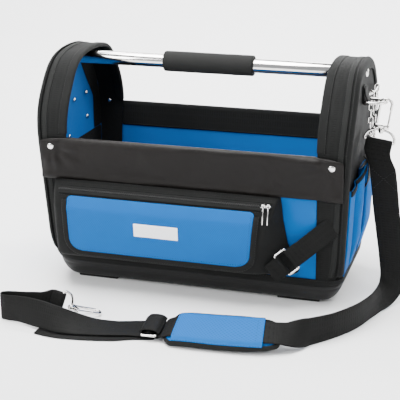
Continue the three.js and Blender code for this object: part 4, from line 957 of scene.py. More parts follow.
def pocket_section(z):
    """Outline of the pocket at a height: across from the left wall, over its face, to the right wall."""
    depth = POCKET_DEPTH * pocket_at(z, 1)
    front = POCKET_LEFT + POCKET_LENGTH * pocket_at(z, 2)
    wall = POCKET_LEFT + POCKET_LENGTH * pocket_at(z, 3)
    left = [(-203, 0), (-201.5, 0.35), (-198.5, 0.72), (-194.5, 0.94), (-190, 1)]
    right = [(front - 6, 1), (front - 2, 0.97), (lerp(front, wall, 0.1), 0.86),
             (lerp(front, wall, 0.45), 0.5), (lerp(front, wall, 0.8), 0.16), (wall, 0)]
    return [Vector((x, depth * share)) for x, share in left + right]


def make_pocket():
    """Front pocket, its flap with binding and blank label, and its zip."""
    sections = {}

    def pocket(u, v, lift):
        z = lerp(POCKET_BOTTOM, POCKET_TOP, smooth(v) * 0.5 + v * 0.5)
        if v not in sections:
            section = pocket_section(z)
            left, right = resample(section[:5], 5), resample(section[5:], 9)
            middle = [left[-1].lerp(right[0], k / 22) for k in range(1, 22)]
            sections[v] = [*left, *middle, *right]
        row = sections[v]
        point = row[round(u * (len(row) - 1))]
        puff = pocket_puff(point.x, z) * smooth(point.y / 20)
        return wall_point(-1, point.x, z, GAP + 1.6 + point.y + puff + lift)

    cloth("front_pocket_cloth", 36, 44, pocket, (410, 170), 1.6, ["black"],
          ["front_pocket"])

    def flap_edges(z):
        below = clamp(FLAP_BOTTOM + FLAP_CORNER - z, 0, FLAP_CORNER)
        shrink = FLAP_CORNER - math.sqrt(FLAP_CORNER ** 2 - below ** 2)
        above = clamp(z - (FLAP_TOP - 6), 0, 6)
        shrink += 6 - math.sqrt(36 - above ** 2)
        flare = 0.03 * FLAP_LENGTH * (z - FLAP_BOTTOM) / (FLAP_TOP - FLAP_BOTTOM)
        return FLAP_LEFT + shrink, FLAP_LEFT + 0.97 * FLAP_LENGTH + flare - shrink

    def flap(u, v, lift):
        z = lerp(FLAP_BOTTOM - 0.6, FLAP_TOP + 0.4, 0.5 - 0.5 * math.cos(math.pi * v))
        left, right = flap_edges(clamp(z, FLAP_BOTTOM, FLAP_TOP))
        x = lerp(left - 1, right + 1, u)
        calm = math.sin(math.pi * u) * math.sin(math.pi * v)
        soft = calm * (0.7 + ripple(x, 21, z, 38, 1.6) + ripple(x * 0.6, 30, z * 1.6, 15, 0.35))
        return pocket_face(x, z, 4.2 + soft + lift)

    cloth("flap_cloth", 90, 44, flap, (275, 84), 1.8, ["blue", "black"],
          ["pocket_flap"])

    corner_z = FLAP_BOTTOM + FLAP_CORNER
    outline = [(Vector((flap_edges(z)[0], z)), Vector((-1, 0))) for z in range(FLAP_TOP - 5, corner_z, -6)]
    low_left, low_right = flap_edges(corner_z)
    for x, start in ((low_left + FLAP_CORNER, 180), (low_right - FLAP_CORNER, 270)):
        for step in range(0, 91, 10):
            way = Vector((math.cos(math.radians(start + step)), math.sin(math.radians(start + step))))
            outline.append((Vector((x, corner_z)) + way * FLAP_CORNER, way))
        if start == 180:
            outline += [(Vector((lerp(low_left + FLAP_CORNER, low_right - FLAP_CORNER, k / 24), FLAP_BOTTOM)),
                         Vector((0, -1))) for k in range(1, 24)]
    outline += [(Vector((flap_edges(z)[1], z)), Vector((1, 0))) for z in range(corner_z + 6, FLAP_TOP - 4, 6)]
    last = len(outline) - 1

    def binding(u, v, lift):
        place, way = outline[round(u * last)]
        point = place + way * lerp(-0.8, 9, v)
        return pocket_face(point.x, point.y, 3.4 + 1.4 * math.sin(math.pi * v) ** 0.7 + lift)

    cloth("flap_binding_tape", last, 8, binding, (480, 10), 1.6, ["tape"],
          ["flap_binding"])

    def binding_row(reach, lift):
        return [pocket_face(*(place + way * reach), lift) for place, way in outline]

    def label(u, v, lift):
        x = lerp(LABEL_LEFT, LABEL_LEFT + LABEL_LENGTH, u)
        z = lerp(LABEL_BOTTOM, LABEL_BOTTOM + LABEL_HEIGHT, v)
        share = clamp((x - FLAP_LEFT) / FLAP_LENGTH)
        calm = math.sin(math.pi * share) * 0.95
        soft = calm * (0.7 + ripple(x, 21, z, 38, 1.6))
        return pocket_face(x, z, 5.1 + soft + lift)

    cloth("label_patch_cloth", 30, 10, label, (66, 20), 0.7, ["label"],
          ["label_patch"])
    box = [(0.03, 0.08), (0.97, 0.08), (0.97, 0.92), (0.03, 0.92), (0.03, 0.08)]
    around = [label(lerp(a[0], b[0], k / 20), lerp(a[1], b[1], k / 20), 0.1)
              for a, b in zip(box, box[1:]) for k in range(20)]
    stitches("label_stitches", [(around, lambda p: -Y)], width=0.35, finish="label")

    zip_left, zip_right = POCKET_LEFT + 15, POCKET_LEFT + 1.03 * POCKET_LENGTH
    lean = Vector((0, -0.75, 0.66))

    def zip_tape(u, v, lift):
        x, z = lerp(zip_left, zip_right, u), lerp(148.6, 160.6, v)
        dip = -0.5 * bump_at(v, 0.5, 0.25)
        return pocket_face(x, z, 3.0 + dip + lift)

    cloth("zip_tape_cloth", 70, 10, zip_tape, (312, 13), 0.9, ["tape"], ["zip_tape"])

    def on_zip(z, lift, left=zip_left, right=zip_right, count=90):
        return [pocket_face(lerp(left, right, k / count), z, lift) for k in range(count + 1)]

    bm = bmesh.new()
    for z in (150.2, 159.4):
        add_tube(bm, on_zip(z, 3.3), 0.8, lean, sides=8)
    finish_piece(to_object("zip_welts", bm), ["tape"], "bag")
    bm = bmesh.new()
    coil = resample(on_zip(155, 3.2, zip_left, 108), 190)
    for k, point in enumerate(coil):
        made = bmesh.ops.create_icosphere(bm, subdivisions=1, radius=1.0)
        bmesh.ops.scale(bm, vec=(0.62, 1.5, 0.8), verts=made["verts"])
        turn = Matrix.Rotation(math.radians(48), 4, "X")
        side = 0.55 if k % 2 else -0.55
        bmesh.ops.transform(bm, matrix=Matrix.Translation(point + Vector((0, 0, side))) @ turn,
                            verts=made["verts"])
    finish_piece(to_object("zip_coil", bm), ["zip"], "bag")
    left_row = [wall_point(-1, -199.5, z, 8) for z in range(60, 160, 4)]
    stitches("pocket_stitches", [(binding_row(7.6, 4.3), lambda p: -Y), (binding_row(-3, 5.6), lambda p: -Y),
                                 (on_zip(147.4, 3.4), lambda p: lean), (on_zip(161.8, 2.9), lambda p: lean),
                                 (on_zip(164, 2.9, -198, 128), lambda p: lean),
                                 (left_row, lambda p: -X)])
    for letter in "ab":
        make_zip_slider(letter)


def make_zip_slider(letter):
    """A slider with its bail, and its thin pull."""
    low, high = (Vector(c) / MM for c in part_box(f"zip_slider_{letter}"))
    middle = (low + high) / 2
    tilt = Matrix.Rotation(math.radians(-42), 4, "X")
    bm = bmesh.new()
    seat = Matrix.Translation(Vector((middle.x, low.y + 4.1, low.z + 2.2))) @ tilt
    add_block(bm, (6.4, 5.4, 2.2), seat, edge=0.8, segments=3)
    pivot = ZIP_PIVOTS[letter]
    arch = [Vector((-2.3, 0, 0)), Vector((-2.4, 0, 2)), Vector((-2.0, 0, 3.6)), Vector((0, 0, 4.1)),
            Vector((2.0, 0, 3.6)), Vector((2.4, 0, 2)), Vector((2.3, 0, 0))]
    place = Matrix.Translation(pivot) @ tilt @ Matrix.Translation((0, 0, -4.1))
    add_tube(bm, [place @ p for p in catmull(arch, 4)], 0.65, place.to_3x3() @ Y, sides=8)
    plate(f"zip_slider_{letter}_body", bm, f"zip_slider_{letter}")
    pull_low, pull_high = (Vector(c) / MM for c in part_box(f"zip_pull_{letter}"))
    end = Vector((pivot.x, pull_low.y + 1.2, pull_low.z + 1))
    way = (end - pivot).normalized()
    bm = bmesh.new()
    ring = [pivot + way * 1.9 * math.cos(a) + way.cross(X) * 1.9 * math.sin(a)
            for a in (k * math.pi / 10 for k in range(20))]
    add_tube(bm, ring, 0.55, X, closed=True, sides=8)
    turn = Matrix((X, way.cross(X), way)).transposed().to_4x4()
    length = (end - pivot).length - 2
    add_block(bm, (1.2, 2.2, length), Matrix.Translation(pivot + way * (2 + length / 2)) @ turn, edge=0.45)
    plate(f"zip_pull_{letter}_bar", bm, f"zip_pull_{letter}", body=f"zip_pull_{letter}")


ZIP_PIVOTS = {"a": Vector((114.04, -139.23, 157.65)), "b": Vector((121.04, -139.23, 157.65))}


# Compression strap

def turn_round(bar, bar_radius, toward, normal, leg, cloth_thickness=STRAP_CLOTH):
    """Middle line of webbing that comes in past a round bar, turns round it and is folded back."""
    radius = bar_radius + GAP + cloth_thickness / 2 + 0.2
    fold = -radius + cloth_thickness + GAP
    points = [bar - toward * leg - normal * radius, bar - toward * leg * 0.5 - normal * radius]
    for k in range(13):
        angle = math.radians(-90 + k * 15)
        points.append(bar + toward * math.cos(angle) * radius + normal * math.sin(angle) * radius)
    points.append(bar - toward * leg * 0.22 + normal * (radius * 0.55))
    points.append(bar - toward * leg * 0.45 + normal * (fold + 0.25))
    points.append(bar - toward * leg * 0.9 + normal * fold)
    return points


def ring_path(half_x, half_y, corner, steps=6):
    """A flat rounded rectangle about the origin, in X and Y."""
    points = []
    for sx, sy, start in ((1, 1, 0), (-1, 1, 90), (-1, -1, 180), (1, -1, 270)):
        for k in range(steps + 1):
            angle = math.radians(start + 90 * k / steps)
            points.append(Vector((sx * (half_x - corner) + corner * math.cos(angle),
                                  sy * (half_y - corner) + corner * math.sin(angle), 0)))
    return points


SIDE_STRAP_TOP, SIDE_WIRE, SIDE_WEBBING = 121, 1.5, 30


def side_frame():
    """Middle of the side ring, the way down the strap, across it, and off it to the front."""
    start = wall_point(-1, 199.4, SIDE_STRAP_TOP, 1.6)
    centre = wall_point(-1, 0.645 * HALF_RIM, 0.605 * SIDE_STRAP_TOP, 0.6 * POCKET_DEPTH)
    way = (centre - start).normalized()
    across = way.cross(FRONT_NORMAL).normalized()
    normal = way.cross(across).normalized()
    return start, centre, way, across, normal


def make_side_strap():
    """Strap from the right band to a ring, the ring, and the short tab that holds it."""
    start, centre, way, across, normal = side_frame()
    inward = normal if normal.y > 0 else -normal
    half_x, half_y = 9.0, SIDE_WEBBING / 2 + 0.6 + SIDE_WIRE
    for name, place, toward, first, node in (("side_strap_web", -half_x, way, start, "side_strap"),
                                             ("side_tab_web", half_x, -way, None, "side_tab")):
        points = turn_round(centre + way * place, SIDE_WIRE, toward, inward, 20)
        if first is not None:
            corner = first - way * 17
            line = [corner.lerp(points[0], k / 12) for k in range(12)]
            points = line + points
        points = catmull(points, 2)
        ribbon(name, [(p, across) for p in points], SIDE_WEBBING, STRAP_CLOTH - 0.2, [node])
    basis = Matrix((way, across, normal)).transposed().to_4x4()
    bm = bmesh.new()
    path = [centre + basis.to_3x3() @ p for p in ring_path(half_x, half_y, 2.6)]
    add_tube(bm, path, SIDE_WIRE, normal, closed=True, sides=12)
    plate("side_ring_wire", bm, "side_ring")
    face = -inward
    rows = []
    for offset in (-12.5, 12.5):
        row = [start.lerp(centre, k / 60) + across * offset + face * 1.2 for k in range(47)]
        rows.append((row, lambda p: face))
    top = start.lerp(centre, 0.05)
    rows.append(([top + across * o + face * 1.2 for o in range(-12, 13, 2)], lambda p: face))
    for sign in (-1, 1):
        rows.append(([start.lerp(centre, 0.05 + 0.2 * k / 12) + across * sign * (12 - 2 * k) + face * 1.2
                      for k in range(13)], lambda p: face))
    stitches("side_strap_stitches", rows)


# End pockets, loops and rings

END_POCKET = [
    # depth, bulge, mouth: shares of the half depth, the bulge and the front rim's height
    (-0.865, 0.0, 0.79), (-0.84, 0.3, 0.79), (-0.55, 0.3, 0.79), (-0.49, 0.0, 0.8), (-0.44, 0.75, 0.85),
    (-0.34, 1.0, 0.89), (-0.24, 0.75, 0.87), (-0.175, 0.0, 0.84), (0.175, 0.0, 0.84), (0.24, 0.75, 0.86),
    (0.45, 1.0, 0.87), (0.66, 0.75, 0.85), (0.74, 0.0, 0.83),
]
POCKET_CURVE = catmull([Vector(row) for row in END_POCKET], 5)
SIDE_LOOP = [(0.0, 0.0), (0.1, 0.55), (0.28, 0.95), (0.72, 1.0), (0.92, 0.6), (1.0, 0.2)]


def make_end_pockets():
    """Sewn pockets over each end, the tape on their mouths and the webbing loop between them."""
    count = len(POCKET_CURVE) - 1
    for end, side in ((-1, "left"), (1, "right")):
        def on_end(row, z, lift, end=end):
            half_length, half_depth, _ = plan_at(z)
            return Vector((end * (half_length + lift), row.x * half_depth, z))

        def pocket(u, v, lift, end=end):
            row = POCKET_CURVE[round(u * count)]
            z = lerp(45.5, row.z * FRONT_RIM, v)
            swell = max(row.y, 0) * 12 * (smooth(v / 0.35) * 0.45 + 0.55 * math.sqrt(clamp(v / 0.3)))
            crease = max(row.y, 0) * ripple(row.x * 120, end * 5, z, 22, 1.6)
            return on_end(row, z, GAP + 1.5 + swell + crease * v + lift)

        cloth(f"end_pockets_{side}_cloth", count, 36, pocket, (200, 150), 1.4,
              ["blue", "lining"], [f"end_pockets_{side}"])

        def mouth(u, v, lift, end=end):
            row = POCKET_CURVE[round(u * count)]
            z = row.z * FRONT_RIM - 8.8 * (1 - v) + 0.4
            return on_end(row, z, 3.6 + max(row.y, 0) * 12 + 0.4 * math.sin(math.pi * v) + lift)

        cloth(f"mouth_tape_{side}_band", count, 6, mouth, (200, 9), 1.1, ["tape"],
              [f"mouth_tape_{side}"])
        curve = catmull([Vector(row) for row in SIDE_LOOP], 8)
        rows = []
        for rise, bulge in curve:
            z = lerp(150, 204, rise)
            rows.append((Vector((end * (plan_at(z)[0] + 3.3 + max(bulge, 0) * 11), 0, z)), Y))
        ribbon(f"side_loop_{side}_web", rows, 36, 1.8, [f"side_loop_{side}"])
        runs = []
        for edge in (-0.88, -0.515, -0.2, 0.2, 0.76):
            runs.append(([Vector((end * (plan_at(z)[0] + 2.3), edge * plan_at(z)[1], z))
                          for z in range(48, 176, 4)], lambda p: X * p.x))
        runs.append(([mouth(k / 60, 0.25, 0.2) for k in range(61)], lambda p: X * p.x))
        for z in (152.5, 155.5, 200.5, 202.5):
            bulge = table_at(SIDE_LOOP, (z - 150) / 54, 1)
            x = end * (plan_at(z)[0] + 4.5 + bulge * 11)
            runs.append(([Vector((x, y, z)) for y in range(-16, 17, 4)], lambda p: X * p.x))
        stitches(f"end_pocket_stitches_{side}", runs)


RING_HEIGHT, HOOK_SIDE, RING_REACH = 0.846 * ARCH_TOP, -24, 28
RING_LIFT = GAP + 1 + 2 + GAP + 1


def d_path(half_bar, reach):
    """A D of wire about the origin: its bar along X, its bow out along Z."""
    points = [Vector((1.5 - half_bar, 0, 0)), Vector((0, 0, 0)), Vector((half_bar - 1.5, 0, 0)),
              Vector((half_bar - 0.3, 0, 0.5)), Vector((half_bar, 0, 2))]
    for step in range(2, 19):
        angle = step * math.pi / 20
        out = math.copysign(abs(math.cos(angle)) ** 0.65, math.cos(angle))
        points.append(Vector((half_bar * out, 0, reach * math.sin(angle))))
    return points + [Vector((-half_bar, 0, 2)), Vector((0.3 - half_bar, 0, 0.5))]


def ring_bar(end):
    return Vector((end * (half_length_at(RING_HEIGHT) + RING_LIFT), HOOK_SIDE, RING_HEIGHT))


def make_rings():
    """A ring on its webbing tab, high on each end."""
    for end, side in ((-1, "left"), (1, "right")):
        bar = ring_bar(end)
        out = Vector((0, 0, -1)) if end < 0 else X * end
        basis = Matrix((Y, out.cross(Y), out)).transposed()
        bm = bmesh.new()
        add_tube(bm, [bar + basis @ p for p in d_path(14.6, RING_REACH)], 2.0, basis @ Y, closed=True,
                 sides=12)
        plate(f"bag_ring_{side}_wire", bm, f"bag_ring_{side}")
        rows = [(p, Y) for p in catmull(turn_round(bar, 2.0, -Z, X * end, 22), 2)]
        ribbon(f"ring_tab_{side}_web", rows, 24, 1.8, [f"ring_tab_{side}"])
        runs = []
        for height, span in ((10, 10), (19, 10)):
            x = bar.x + end * 0.3
            runs.append(([Vector((x, HOOK_SIDE + y, bar.z + height)) for y in range(-span, span + 1, 2)],
                         lambda p: X * p.x))
        for sign in (-1, 1):
            runs.append(([Vector((bar.x + end * 0.3, HOOK_SIDE + sign * k, bar.z + 14.5 + 0.45 * k))
                          for k in range(-10, 11, 2)], lambda p: X * p.x))
        stitches(f"ring_tab_stitches_{side}", runs)


# Handle, rivets and chain

GRIP_LENGTH, GRIP_MIDDLE, GRIP_BORE = 135, -3.5, 10.4


def make_handle():
    """Plated tube, foam grip, and the screws that hold the tube at each end."""
    centre = Vector((0, 0, TUBE_HEIGHT))
    half = TUBE_HALF
    bm = bmesh.new()
    profile = [(TUBE_BORE, -half), (TUBE_RADIUS - 0.3, -half)]
    profile += [(TUBE_RADIUS, x) for x in (0.4 - half, -half * 0.5, 0, half * 0.5, half - 0.4)]
    profile += [(TUBE_RADIUS - 0.3, half)] + [(TUBE_BORE, x) for x in (half, half - 10, 10 - half, -half)]
    add_turned(bm, profile, centre, X, steps=40)
    plate_turned("handle_tube_metal", bm, "handle_tube", sharp=50)
    length = GRIP_LENGTH
    profile = [(GRIP_BORE, -length / 2), (13.6, -length / 2), (14.6, 0.7 - length / 2),
               (15, 2.2 - length / 2)]
    inner = [lerp(2.2 - length / 2, length / 2 - 2.2, k / 20) for k in range(1, 20)]
    profile += [(15 + ripple(x, 3, 8, 18, 0.25), x) for x in inner]
    profile += [(15, length / 2 - 2.2), (14.6, length / 2 - 0.7), (13.6, length / 2),
                (GRIP_BORE, length / 2), (GRIP_BORE, -length / 2)]
    bm = bmesh.new()
    add_turned(bm, profile, centre + X * GRIP_MIDDLE, X, steps=40)
    bmesh.ops.recalc_face_normals(bm, faces=bm.faces)
    grip = finish_piece(to_object("foam_grip_sleeve", bm), ["foam"], "bag", ["foam_grip"])
    grip.data.set_sharp_from_angle(angle=math.radians(60))
    for end, side in ((-1, "left"), (1, "right")):
        outside = half_length_at(TUBE_HEIGHT) + GAP
        bm = bmesh.new()
        add_turned(bm, [(0, 0.8), (2.2, 0.8), (2.2, 2.3), (3.2, 2.7), (5.2, 2.2), (6.4, 1.0), (6.5, 0),
                        (3, 0), (3, -6), (0, -6)], Vector((end * outside, 0, TUBE_HEIGHT)), X * end, steps=28)
        add_turned(bm, [(0, 0), (8.1, 0), (8.1, 11.5), (0, 11.5)],
                   Vector((end * (half - 12), 0, TUBE_HEIGHT)), X * end, steps=28)
        plate_turned(f"tube_screw_{side}_head", bm, f"tube_screw_{side}", sharp=40)


COLLAR_RIVET, SMALL_RIVET, RIVET_SEAT = 5, 3.6, 6.2


def make_rivet(name, radius, seat, facing):
    """A domed rivet on its seat."""
    bm = bmesh.new()
    height = 2.2
    profile = [(0, 0), (radius, 0), (radius, 0.25 * height)]
    profile += [(radius * math.cos(a), height * (0.25 + 0.75 * math.sin(a))) for a in (0.35, 0.7, 1.05, 1.35)]
    profile.append((0, height))
    add_turned(bm, profile, seat, facing, steps=20)
    plate_turned(f"{name}_dome", bm, name)


def make_rivets():
    """Domed rivets on the collar, inside the left end and on its band."""
    for end, side in ((-1, "left"), (1, "right")):
        seat = wall_point(-1, end * RIVET_X, RIVET_Z, RIVET_SEAT)
        make_rivet(f"collar_rivet_{side}", COLLAR_RIVET, seat, FRONT_NORMAL)
    for k, (depth, height) in enumerate([(-0.17, 0.59), (0.07, 0.742), (0.45, 0.635), (0.47, 0.748)]):
        z = height * ARCH_TOP
        seat = Vector((-(half_length_at(z) - WALL - 1.4), depth * BAG_DEPTH / 2, z))
        make_rivet(f"end_rivet_{k + 1}", SMALL_RIVET, seat, X)
    seat = Vector((-HALF_RIM + 18.9, plan_at(BACK_RIM)[1] - WALL - 1.3, BACK_RIM))
    make_rivet("band_rivet", SMALL_RIVET, seat, -Y)


CHAIN_SPAN, CHAIN_DROP, CHAIN_TOP, CHAIN_START, CHAIN_LIFT = 50, 74, 292, 10, 6.5
LINK_LENGTH, LINK_WIDTH, LINK_WIRE, LINK_PITCH = 13, 8.4, 2, 9.3


def make_chain():
    """Chain of oval links in a loop from a wire hanger on the right end."""
    radius = CHAIN_SPAN / 2
    straight = CHAIN_DROP - radius
    total = 2 * straight + math.pi * radius
    count = 2 * int(total / LINK_PITCH / 2) + 1
    first = (total - (count - 1) * LINK_PITCH) / 2
    x = half_length_at(CHAIN_TOP) + CHAIN_LIFT
    half, side = LINK_LENGTH / 2 - LINK_WIRE / 2, LINK_WIDTH / 2 - LINK_WIRE / 2
    bm = bmesh.new()
    for k in range(count):
        run = first + k * LINK_PITCH
        angle = clamp((run - straight) / radius, 0, math.pi)
        if angle <= 0:
            y, drop = 0, -run
        elif angle >= math.pi:
            y, drop = CHAIN_SPAN, run - total
        else:
            y, drop = radius * (1 - math.cos(angle)), -straight - radius * math.sin(angle)
        along = Vector((0, math.sin(angle), -math.cos(angle)))
        flat = X if k % 2 == 0 else along.cross(X)
        centre = Vector((x, CHAIN_START + y, CHAIN_TOP + drop))
        path = []
        for step in range(20):
            turn = (step + 0.5) * math.pi / 10
            reach = math.copysign(half - side, math.cos(turn)) + side * math.cos(turn)
            path.append(centre + along * reach + flat * side * math.sin(turn))
        add_tube(bm, path, LINK_WIRE / 2, along.cross(flat), closed=True, sides=8)
    plate("tape_chain_links", bm, "tape_chain")
    wall = half_length_at(CHAIN_TOP)
    low, high = (Vector(c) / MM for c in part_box("chain_hanger"))
    bar = (low.z + high.z) / 2
    start, stop = CHAIN_START - 7, CHAIN_START + CHAIN_SPAN + 7
    path = [Vector((wall + 1.2, start - 3.6, bar)), Vector((wall + 3.4, start - 2.2, bar)),
            Vector((x, start + 0.4, bar)), Vector((x, stop - 0.4, bar)),
            Vector((wall + 3.4, stop + 2.2, bar)), Vector((wall + 1.2, stop + 3.6, bar))]
    bm = bmesh.new()
    add_tube(bm, catmull(path, 8), 1.4, Z, sides=12)
    plate("chain_hanger_wire", bm, "chain_hanger")


# Swivel eyes and snap hooks

EYE_WIRE, EYE_HALF, EYE_REACH, EYE_BOSS = 3.6, 21.4, 17, 5
HOOK_WIDTH, HOOK_WIRE, HOOK_LENGTH, GATE_WIRE = 20, 4, 44, 2.6
HOOK_BASE, GATE_SIDE, GATE_PIVOT, GATE_TOP = 19.8, 8, 23.0, 46.2
SHOULDER = 5.2


def hook_place(origin, x, y, z):
    """Place of a hook from its origin and its own three directions."""
    turn = Matrix([Vector(way).normalized() for way in (x, y, z)]).transposed()
    return Matrix.Translation(Vector(origin)) @ turn.to_4x4()


CLIPPED = hook_place((251.59, -24, 229.008), (0.99027, 0, -0.13917), (0, 1, 0), (0.13917, 0, 0.99027))
FREE_EYE = hook_place((-143.1, -249.11, 23.368), (0.24774, 0.23102, 0.94088), (0.682, -0.73135, 0),
                      (0.68812, 0.64168, -0.33874))
FREE_HOOK = FREE_EYE @ Matrix.Rotation(math.pi / 2, 4, "Z")


def make_eye(name, place):
    """Wire eye with a boss that the hook's pin turns in; its bar is along the hook's X."""
    turn = place.to_3x3()
    bm = bmesh.new()
    add_tube(bm, [place @ p for p in d_path(EYE_HALF, EYE_REACH)], EYE_WIRE / 2, turn @ Y,
             closed=True, sides=14)
    half = EYE_BOSS / 2
    add_turned(bm, [(1.9, -half), (3.9, -half), (4.4, 0.5 - half), (4.4, half - 0.5), (3.9, half),
                    (1.9, half), (1.9, -half)], place @ Vector((0, 0, EYE_REACH)), turn @ Z, steps=28)
    plate_turned(f"swivel_eye_{name}_ring", bm, f"swivel_eye_{name}", sharp=45)


def make_hook(name, place, body, gate_body):
    """Snap hook with a shoulder that the gate is pinned in, and its gate."""
    turn = place.to_3x3()

    def block(bm, size, centre, edge=0.9):
        add_block(bm, size, place @ Matrix.Translation(centre), edge=edge, segments=3)

    bm = bmesh.new()
    head = EYE_REACH - EYE_BOSS / 2 - GAP
    add_turned(bm, [(0, head - 2.2), (2.4, head - 2.2), (3.1, head - 1.6), (3.1, head), (1.6, head),
                    (1.6, HOOK_BASE + 1), (0, HOOK_BASE + 1)], place.translation, turn @ Z, steps=24)
    mid = HOOK_BASE + SHOULDER / 2
    block(bm, (15, 5.8, SHOULDER), (-2.5, 0, mid), edge=1.2)
    block(bm, (8, 5.8, 1.2), (6, 0, HOOK_BASE + 0.6), edge=0.4)
    for side in (-1, 1):
        block(bm, (8, 1.3, SHOULDER), (6, side * 2.25, mid), edge=0.5)
    half = HOOK_WIDTH / 2 - HOOK_WIRE / 2
    arc = HOOK_BASE + HOOK_LENGTH - HOOK_WIRE / 2 - half
    path = [Vector((-half, 0, HOOK_BASE + 3)), Vector((-half, 0, lerp(HOOK_BASE + 3, arc, 0.5)))]
    path += [Vector((-half * math.cos(a), 0, arc + half * math.sin(a)))
             for a in (k * math.pi / 18 for k in range(19))]
    path += [Vector((half, 0, lerp(arc, GATE_TOP, 0.6))), Vector((half, 0, GATE_TOP + GAP))]
    add_tube(bm, [place @ p for p in path], HOOK_WIRE / 2, turn @ Y, sides=14)
    plate_turned(f"snap_hook_{name}_body", bm, f"snap_hook_{name}", body, sharp=45)

    bm = bmesh.new()
    low, high = GATE_PIVOT - GATE_WIRE / 2, GATE_TOP - GAP
    reach = GATE_WIRE / 2
    profile = [(0, low), (reach, low), (reach, high - 0.4), (reach - 0.4, high), (0, high)]
    add_turned(bm, profile, place @ Vector((GATE_SIDE, 0, 0)), turn @ Z, steps=16)
    pivot = place @ Vector((GATE_SIDE, 0, GATE_PIVOT))
    add_turned(bm, [(0, -2.9), (0.9, -2.9), (0.9, 2.9), (0, 2.9)], pivot, turn @ Y, steps=14)
    plate_turned(f"hook_gate_{name}_bar", bm, f"hook_gate_{name}", gate_body, sharp=45)


def make_hooks():
    """Swivel eye, hook and sprung gate at each end of the shoulder strap."""
    make_eye("clipped", CLIPPED)
    make_eye("free", FREE_EYE)
    make_hook("clipped", CLIPPED, "bag", "clipped_gate")
    make_hook("free", FREE_HOOK, "free_hook", "free_gate")


# Shoulder strap, its pad and its slider

HANGING = [
    # along, out, height as a share of the clipped eye's, turn, lean
    (1.15, -0.1, 0.85, 180, 6), (1.168, -0.104, 0.734, 180, 2), (1.19, -0.108, 0.573, 180, 0),
    (1.219, -0.112, 0.404, 180, 0), (1.246, -0.124, 0.2385, 180, 6), (1.253, -0.156, 0.1285, 180, 28),
]
LYING = [
    # along, out, rise over the floor as a share of the strap's width, turn, lean
    (1.231, -0.228, 0.08, 172, 58), (1.204, -0.317, 0.01, 165, 80), (1.173, -0.414, 0.0, 158, 90),
    (1.111, -0.552, 0.0, 150, 90), (1.004, -0.686, 0.0, 140, 90), (0.889, -0.779, 0.0, 128, 82),
    (0.836, -0.817, 0.08, 117, 55), (0.782, -0.848, 0.245, 107, 33), (0.724, -0.867, 0.37, 100, 25),
    (0.4, -0.9, 0.37, 93, 25), (0.133, -0.903, 0.33, 90, 22), (0.056, -0.892, 0.2, 89, 18),
    (0.018, -0.882, 0.085, 88, 13), (-0.027, -0.88, 0.27, 88, 13), (-0.076, -0.88, 0.085, 88, 13),
    (-0.156, -0.886, 0.08, 88, 9), (-0.267, -0.91, 0.08, 88, 8), (-0.4, -0.934, 0.08, 90, 13),
    (-0.511, -0.955, 0.08, 92, 28), (-0.6, -0.966, 0.08, 94, 45), (-0.733, -0.955, 0.08, 97, 66),
    (-0.867, -0.931, 0.04, 100, 85), (-0.96, -0.92, 0.0, 104, 90), (-1.0, -0.908, 0.0, 104, 90),
    (-1.003, -0.888, 0.0, 104, 90), (-0.973, -0.874, 0.0, 104, 90), (-0.867, -0.873, 0.03, 80, 84),
    (-0.756, -0.866, 0.08, 55, 76),
]
TAIL = [(0.0, -0.872), (-0.13, -0.903), (-0.23, -0.938), (-0.4, -0.969), (-0.58, -0.983), (-0.72, -0.966)]
FLOOR_GAP = 0.3
PAD_START, PAD_END, SLIDER_ROW = 13.75, 17.15, 19
PAD_WIDTH, PAD_THICKNESS, PAD_TOP = 58, 8, 1.9
PAD = [
    # share of its length, share of its width
    (0.0, 0.3), (0.05, 0.62), (0.13, 0.86), (0.25, 1.0), (0.6, 1.0), (0.76, 0.98), (0.88, 0.78), (0.95, 0.6),
    (1.0, 0.3),
]
PAD_UV_LENGTH = 143
FINE = 20


def make_route():
    """Rows of the strap's route, and fine points of its middle line."""
    rows = []
    for along, out, height, turn, lean in HANGING:
        z = height * CLIPPED.translation.z
        rows.append((Vector((along * HALF_RIM, out * STRAP_REACH, z)), turn, lean))
    for along, out, rise, turn, lean in LYING:
        slope = math.radians(lean)
        edge = math.sin(slope) * STRAP_WIDTH / 2 + math.cos(slope) * STRAP_CLOTH / 2
        z = FLOOR_GAP + rise * STRAP_WIDTH + edge
        rows.append((Vector((along * HALF_RIM, out * STRAP_REACH, z)), turn, lean))
    return rows, catmull([row[0] for row in rows], FINE)


ROUTE, ROUTE_LINE = make_route()


def strap_frame(place):
    """Middle, width direction and face direction of the strap at a place along its route's rows."""
    row = int(clamp(place, 0, len(ROUTE) - 1.001))
    share = place - row
    turn, lean = (math.radians(lerp(ROUTE[row][k], ROUTE[row + 1][k], share)) for k in (1, 2))
    across = Vector((math.cos(lean) * math.cos(turn), math.cos(lean) * math.sin(turn), math.sin(lean)))
    k = clamp(place * FINE, 0, len(ROUTE_LINE) - 1.001)
    a, b = ROUTE_LINE[int(k)], ROUTE_LINE[int(k) + 1]
    along = (b - a).normalized()
    return a.lerp(b, k - int(k)), across, across.cross(along).normalized(), along


def pad_point(share, side, depth):
    """A point of the pad: along it, across it in millimetres, and below the strap's middle line."""
    centre, across, face, _ = strap_frame(lerp(PAD_START, PAD_END, share))
    return centre + across * side - face * depth


def pad_half(share):
    return table_at(PAD, share, 1) * PAD_WIDTH / 2


def pad_outline(inset, depth):
    """Points round the pad's edge."""
    shares = [0.5 - 0.5 * math.cos(math.pi * k / 44) for k in range(45)]
    low, high = inset / PAD_UV_LENGTH, 1 - inset / PAD_UV_LENGTH
    run = [(lerp(low, high, s), 1) for s in shares] + [(lerp(low, high, s), -1) for s in reversed(shares)]
    return [pad_point(s, sign * max(pad_half(s) - inset, 2), depth) for s, sign in run]


